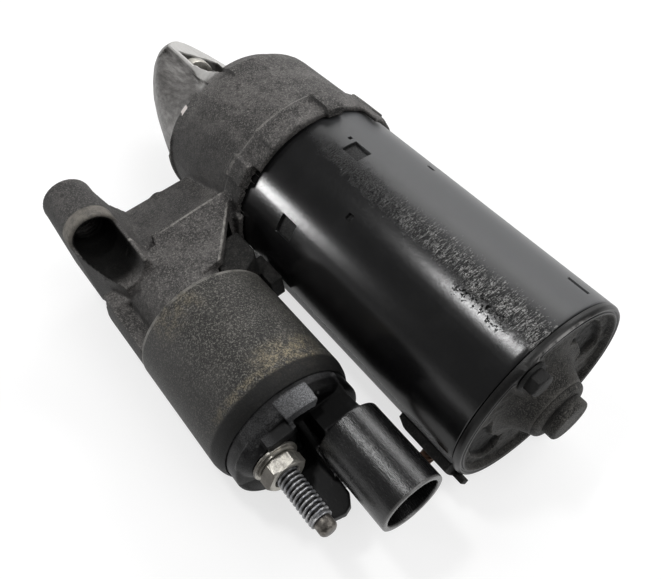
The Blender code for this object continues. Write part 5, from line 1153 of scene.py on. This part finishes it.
def terminal_cap():
    """Moulded end of the solenoid: cup, bosses, raised pads, barrier plate and connector shroud."""
    low, high = span("solenoid_cap")
    centre = middle("solenoid_can")
    shroud = (centre[0] + SHROUD_OUT, centre[1] + SHROUD_UP)
    battery = middle("battery_stud")
    motor = middle("motor_stud")
    radius = CAP_RADIUS
    rear = CAP_REAR
    floor = rear - CAP_END
    cup = turned([(low.x, radius - 3.1), (low.x, radius), (rear - 1.2, radius), (rear, radius - 1.4),
                  (rear, 0.2), (floor, 0.2), (floor, radius - 3.1)], FINE, centre, 0.2)
    pad = [(-42.6, 20.5), (-42.4, radius + 0.1), (rear + 1.6, radius + 0.1), (rear + 1.6, 20.5)]
    fill = [(rear - 2.0, 1.0), (rear + 2.2, 1.0), (rear + 2.2, 16.0), (rear - 0.6, radius - 0.3),
            (rear - 2.0, radius - 0.3)]
    shells = [cup, sector(pad, 69.0, 98.0, 24, centre), sector(fill, 128.0, 258.0, 60, centre)]
    for place, reach in ((battery, 9.6), (motor, 7.5)):
        boss = [(rear - 2.0, 4.1), (rear - 2.0, reach + 2.2), (rear, reach + 1.0),
                (rear + 2.6, reach - 1.4), (rear + 2.6, 4.1)]
        shells.append(turned(boss, MEDIUM, place, 0.4))
    socket = SHROUD_FRONT + 2.6
    tube = [(SHROUD_FRONT, 0.2), (SHROUD_FRONT, 12.0), (high.x, 12.0), (high.x, 10.0), (socket, 10.0),
            (socket, 0.2)]
    shells.append(turned(tube, MEDIUM, shroud, 0.3))
    neck = [(rear - 6.0, shroud[0] - 8.0), (rear - 6.0, shroud[0] + 7.0), (rear + 3.0, shroud[0] + 5.5),
            (SHROUD_FRONT + 1.0, shroud[0] + 6.0), (SHROUD_FRONT + 1.0, shroud[0] - 8.0)]
    shells.append(slab(neck, lambda x: shroud[1] + 9.2, 17.0))
    # Barrier plate between the two terminals, with cut corners at its end
    plate = [(rear - 1.0, -83.0), (rear - 1.0, -69.0), (-13.0, -69.9), (-9.6, -72.2), (-8.6, -75.0),
             (-9.6, -79.0), (-16.0, -82.5)]
    shells.append(slab(plate, lambda x: -1.1 - 0.06 * (x - rear), 3.4))
    wall = [(rear - 1.0, -72.0), (rear - 1.0, -69.4), (-21.0, -69.4), (-19.0, -71.0)]
    shells.append(slab(wall, lambda x: 15.0 - 1.1 * max(0.0, x + 30.0), 17.0))
    tab = [(rear - 1.0, -84.4), (rear - 1.0, -73.6), (rear + 3.6, -73.6), (rear + 4.2, -75.0),
           (rear + 4.2, -83.0), (rear + 3.4, -84.4)]
    shells.append(slab(tab, lambda x: 20.4, 3.6))
    mesh = softened(merged(*shells), 0.4, 2)
    put("terminal_cap", mesh, "black_plastic", ["solenoid_cap"])


def threaded(front, rear, major, pitch, centre):
    """Rings of a screw thread as a relief on a cylinder, run out at both ends."""
    rings = []
    rows = int((rear - front) / pitch * ROWS_PER_PITCH)
    for row in range(rows + 1):
        x = front + (rear - front) * row / rows
        fade = min(1.0, (x - front) / pitch, (rear - x) / pitch)

        def radius(turn, x=x, fade=fade):
            phase = (x / pitch - turn / math.tau) % 1.0
            groove = max(0.0, min(1.0, 2.4 * abs(2.0 * phase - 1.0) - 0.7))
            return major - THREAD_DEPTH * groove * fade - (1.0 - fade) * 0.15

        rings.append(ring(x, radius, STUD_STEPS, centre))
    return rings


def stud(name, node, thread_front, point_length):
    """Terminal stud: round head inside the cap, threaded shank and a plain point."""
    low, high = span(node)
    centre = middle(node)
    head = (high.y - low.y) / 2
    thread_rear = high.x - point_length
    plain = STUD_RADIUS - 0.15
    neck = STUD_RADIUS - 0.9
    shank = ((low.x, head - 0.3), (low.x + 0.3, head), (low.x + 2.3, head), (low.x + 2.6, head - 0.3),
             (low.x + 2.6, plain), (thread_front - 0.05, plain))
    point = ((thread_rear + 0.3, neck), (high.x - 1.1, neck), (high.x - 0.5, neck - 0.35),
             (high.x, neck - 1.0))
    rings = stack(shank, STUD_STEPS, centre)
    rings += threaded(thread_front, thread_rear, STUD_RADIUS, STUD_PITCH, centre)
    rings += stack(point, STUD_STEPS, centre)
    put(name, loft(rings), "zinc_steel", [node], finish="stud_steel")


def hexagon_reach(flats, turn, phase=0.0):
    """Distance from the middle to the side of a hexagon at an angle."""
    fold = (turn - phase + math.pi / 6) % (math.pi / 3) - math.pi / 6
    return flats / 2 / math.cos(fold)


def hexagonal(front, rear, flats, centre, bore=0.0, chamfer=0.75, steps=96, phase=math.pi / 6):
    """A hexagon nut or bolt head with turned chamfers, with a bore if one is given."""
    corner = flats / 2 / math.cos(math.pi / 6)
    ends = (0.0, 0.35, 0.7, 1.0)
    xs = [front + chamfer * share for share in ends] + [rear - chamfer * share for share in reversed(ends)]
    rings = []
    for x in xs:
        inset = max(0.0, chamfer - min(x - front, rear - x))
        limit = corner - 1.55 * inset

        def radius(turn, limit=limit):
            return min(limit, hexagon_reach(flats, turn, phase))

        rings.append(ring(x, radius, steps, centre))
    if bore:
        rings += stack(((rear - 0.02, bore + 0.5), (rear - 0.5, bore), (front + 0.5, bore),
                        (front + 0.02, bore + 0.5)), steps, centre)
    return loft(rings, closed=bool(bore))


def nut(name, node):
    """A hexagon nut over its CAD node."""
    low, high = span(node)
    centre = middle(node)
    mesh = hexagonal(low.x, high.x, NUT_FLATS, centre, bore=STUD_RADIUS + 0.2)
    put(name, mesh, "zinc_steel", [node])


def battery_washers():
    """A flat washer with a split spring washer on it."""
    low, high = span("battery_washer")
    centre = middle("battery_washer")
    bore = STUD_RADIUS + 0.2
    radius = (high.y - low.y) / 2
    step = low.x + 1.0
    flat = turned(band(low.x, step, bore, radius), MEDIUM, centre, 0.25)
    gap = 0.16
    section = band(step + 0.05, high.x, bore, SPRING_WASHER_RADIUS)
    rings = []
    for i in range(SPRING_WASHER_STEPS + 1):
        turn = gap + (math.tau - 2 * gap) * i / SPRING_WASHER_STEPS
        lift = 0.2 * (i / SPRING_WASHER_STEPS - 0.5)
        rings.append([spot(x + lift, reach, turn, centre) for x, reach in section])
    put("battery_washers", merged(flat, loft(rings)), "zinc_steel", ["battery_washer"])


def through_bolt(number):
    """Long clamping bolt with a flanged hexagon head."""
    node = f"through_bolt_{number}"
    low, high = span(node)
    centre = middle(node)
    seat = high.x - 5.0
    shank = turned(band(low.x, seat + 0.4, 0.2, 2.4), 32, centre, 0.3)
    rim = seat + BOLT_FLANGE
    skirt = [(seat, 0.2), (seat, BOLT_FLANGE_RADIUS), (rim, BOLT_FLANGE_RADIUS - 0.5), (rim, 0.2)]
    flange = turned(skirt, MEDIUM, centre, 0.3)
    head = hexagonal(seat + 0.5, high.x, BOLT_HEAD_FLATS, centre, chamfer=0.6)
    put(f"through_bolt_head_{number}", merged(shank, flange, head), "grey_steel", [node])


def soft_pieces():
    """Rubber seal and grommet with rounded edges."""
    for name, node in (("lever_boot", "lever_seal"), ("grommet", "lead_grommet")):
        put(name, softened(cad_copy(node), 0.4, 4), "rubber", [node])


def motor_lead():
    """Eyelet, crimped barrel and a rope of twisted strands from the lower terminal into the grommet."""
    stud_y, stud_z = middle("motor_stud")
    seat = span("motor_lead")[0].x
    lug = band(seat, seat + LUG_SHEET, STUD_RADIUS + 0.3, LUG_RADIUS)
    eyelet = turned(lug, MEDIUM, (stud_y, stud_z), 0.3)
    lead_turn = math.radians(LUG_ANGLE)
    out = Vector((0.0, math.cos(lead_turn), math.sin(lead_turn)))
    root = Vector((seat + 0.8, stud_y, stud_z))
    start = root + out * 10.3 + Vector((1.0, 0.0, 0.0))
    grommet = math.radians(GROMMET_ANGLE)
    away = Vector((0.0, math.cos(grommet), math.sin(grommet)))
    entry = Vector((-LEAD_ENTRY, 0.0, 0.0)) + away * (YOKE_RADIUS + 3.2)
    barrel = sweep([root + out * 6.6, root + out * 8.6, start, start + Vector((1.6, 1.9, -0.8))], 2.5, 20)
    route = smooth_path([start, start + Vector((2.5, 3.0, -1.2)), start + Vector((7.0, 7.0, -3.0)),
                         entry + away * 9.0, entry + away * 4.0, entry - away * 2.4], 14)
    shells = [eyelet, barrel, sweep(route, 1.3, 10)]
    lengths = [0.0]
    for near, far in zip(route, route[1:]):
        lengths.append(lengths[-1] + (far - near).length)
    for strand in range(STRANDS):
        points = []
        for i, point in enumerate(route):
            heading = (route[min(i + 1, len(route) - 1)] - route[max(i - 1, 0)]).normalized()
            side = heading.cross(Vector((0.3, 0.2, 1.0))).normalized()
            other = heading.cross(side)
            turn = math.tau * (strand / STRANDS + lengths[i] / STRAND_LAY)
            points.append(point + (side * math.cos(turn) + other * math.sin(turn)) * STRAND_CIRCLE)
        shells.append(sweep(points, STRAND_RADIUS, 8))
    put("lead_rope", merged(*shells), "copper", ["motor_lead"], finish="old_copper")


def drive_pieces():
    """Gears, shaft and collar seen through the window of the nose, with broken edges."""
    for name, node, slot, body in (("pinion_gear", "pinion", "hard_steel", "pinion"),
                                   ("stop_ring", "stop_collar", "zinc_steel", "carrier"),
                                   ("output_shaft", "planet_carrier", "hard_steel", "carrier")):
        put(name, bevelled(cad_copy(node), 0.35), slot, [node], body)
    put("shift_fork", bevelled(cad_copy("fork_lever"), 0.8), "grey_steel", ["fork_lever"], "lever",
        "hard_steel")


def spring(name, node, axis, side, turns, wire):
    """A round-wire coil spring sized to the box of its CAD node."""
    axis = Vector(axis)
    side = Vector(side)
    other = axis.cross(side)
    corners = cad_copy(node)
    places = [(v.co.dot(axis), v.co.dot(side), v.co.dot(other)) for v in corners.verts]
    corners.free()
    low = [min(place[k] for place in places) for k in range(3)]
    high = [max(place[k] for place in places) for k in range(3)]
    centre = side * (low[1] + high[1]) / 2 + other * (low[2] + high[2]) / 2
    radius = (high[1] - low[1]) / 2 - wire
    first = low[0] + wire
    rise = high[0] - wire - first
    count = round(turns * COIL_POINTS)
    path = []
    for i in range(count + 1):
        turn = math.tau * i / COIL_POINTS
        reach = side * math.cos(turn) + other * math.sin(turn)
        path.append(centre + axis * (first + rise * i / count) + reach * radius)
    piece = put(name, sweep(path, wire, 12), "hard_steel", [node], None)
    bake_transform(piece)


def springs():
    """Springs of the solenoid and of the four brushes."""
    spring("return_coil", "return_spring", (1.0, 0.0, 0.0), (0.0, 1.0, 0.0), 6, 0.9)
    spring("contact_coil", "contact_spring", (1.0, 0.0, 0.0), (0.0, 1.0, 0.0), 2.5, 0.45)
    for i in range(4):
        turn = math.radians(BOLT_ANGLE + 45.0 + 90.0 * i)
        outward = (0.0, math.cos(turn), math.sin(turn))
        spring(f"brush_coil_{i + 1}", f"brush_spring_{i + 1}", outward, (1.0, 0.0, 0.0), 3, 0.4)


def studio():
    """Pale floor that shows white to the camera, soft overhead light and a low window at the left."""
    mesh = bmesh.new()
    bmesh.ops.create_grid(mesh, x_segments=1, y_segments=1, size=FLOOR_SIZE)
    data = stored("floor", mesh)
    floor = placed("floor", data)
    look = Finish("floor")
    path = look.add("ShaderNodeLightPath")
    seen = look.most(*[path.outputs[f"Is {ray} Ray"] for ray in ("Camera", "Glossy", "Transmission")])
    glow = look.add("ShaderNodeEmission", {"Strength": look.times(seen, FLOOR_GLOW)})
    both = look.add("ShaderNodeAddShader", {0: look.shader.outputs[0], 1: glow.outputs[0]})
    look.join(both.outputs[0], look.tree.nodes["Material Output"].inputs["Surface"])
    data.materials.append(look.done(FLOOR_GREY, 0.9, Specular_IOR_Level=0.0))

    world = bpy.data.worlds.new("studio")
    bpy.context.scene.world = world
    world.use_nodes = True
    background = world.node_tree.nodes["Background"]
    background.inputs["Color"].default_value = (1.0, 1.0, 1.0, 1.0)
    background.inputs["Strength"].default_value = SKY

    def lamp(name, direction, distance, width, height, power):
        light = bpy.data.lights.new(name, "AREA")
        light.shape = "RECTANGLE"
        light.size = width
        light.size_y = height
        light.energy = power
        item = placed(name, light)
        heading = Vector(direction).normalized()
        item.location = motor_axis + heading * distance
        item.rotation_euler = heading.to_track_quat("Z", "Y").to_euler()

    lamp("key", (0.45, 0.22, 0.86), 1.1, 0.8, 0.8, 6.0)
    lamp("wall", (-0.42, 0.74, 0.52), 1.2, 1.6, 1.0, 7.0)
    lamp("strip", (-0.32, 0.62, 0.72), 1.0, 0.7, 0.16, 2.4)
    lamp("spot", (-0.27, -0.27, 0.93), 1.0, 0.12, 0.12, 2.6)
    lamp("window", (-0.64, -0.745, 0.20), 0.8, 0.09, 0.13, 1.5)


def camera():
    """Camera at the viewpoint of the photograph."""
    data = bpy.data.cameras.new("photo_view")
    data.sensor_width = CAMERA_SENSOR
    data.lens = CAMERA_LENS
    data.clip_start = 0.01
    item = placed("photo_view", data)
    look = (CAMERA_TARGET - CAMERA_AT).normalized()
    turn = look.to_track_quat("-Z", "Y").to_matrix().to_4x4()
    roll = Matrix.Rotation(math.radians(-CAMERA_ROLL), 4, "Z")
    place = MOTOR @ Matrix.Translation(CAMERA_AT) @ turn @ roll
    item.matrix_world = Matrix.LocRotScale(place.translation, place.to_quaternion(), None)
    bpy.context.scene.camera = item


paint_frame()
camera()
studio()
yoke_shell()
housing_casting()
rear_cover()
solenoid_shell()
terminal_cap()
battery_front = span("battery_washer")[0].x
stud("battery_post", "battery_stud", battery_front, STUD_POINT)
stud("motor_post", "motor_stud", battery_front, MOTOR_STUD_POINT)
nut("battery_hex_nut", "battery_nut")
nut("motor_hex_nut", "motor_nut")
battery_washers()
for number in (1, 2):
    through_bolt(number)
soft_pieces()
motor_lead()
drive_pieces()
springs()

bpy.context.scene.view_settings.view_transform = "Standard"
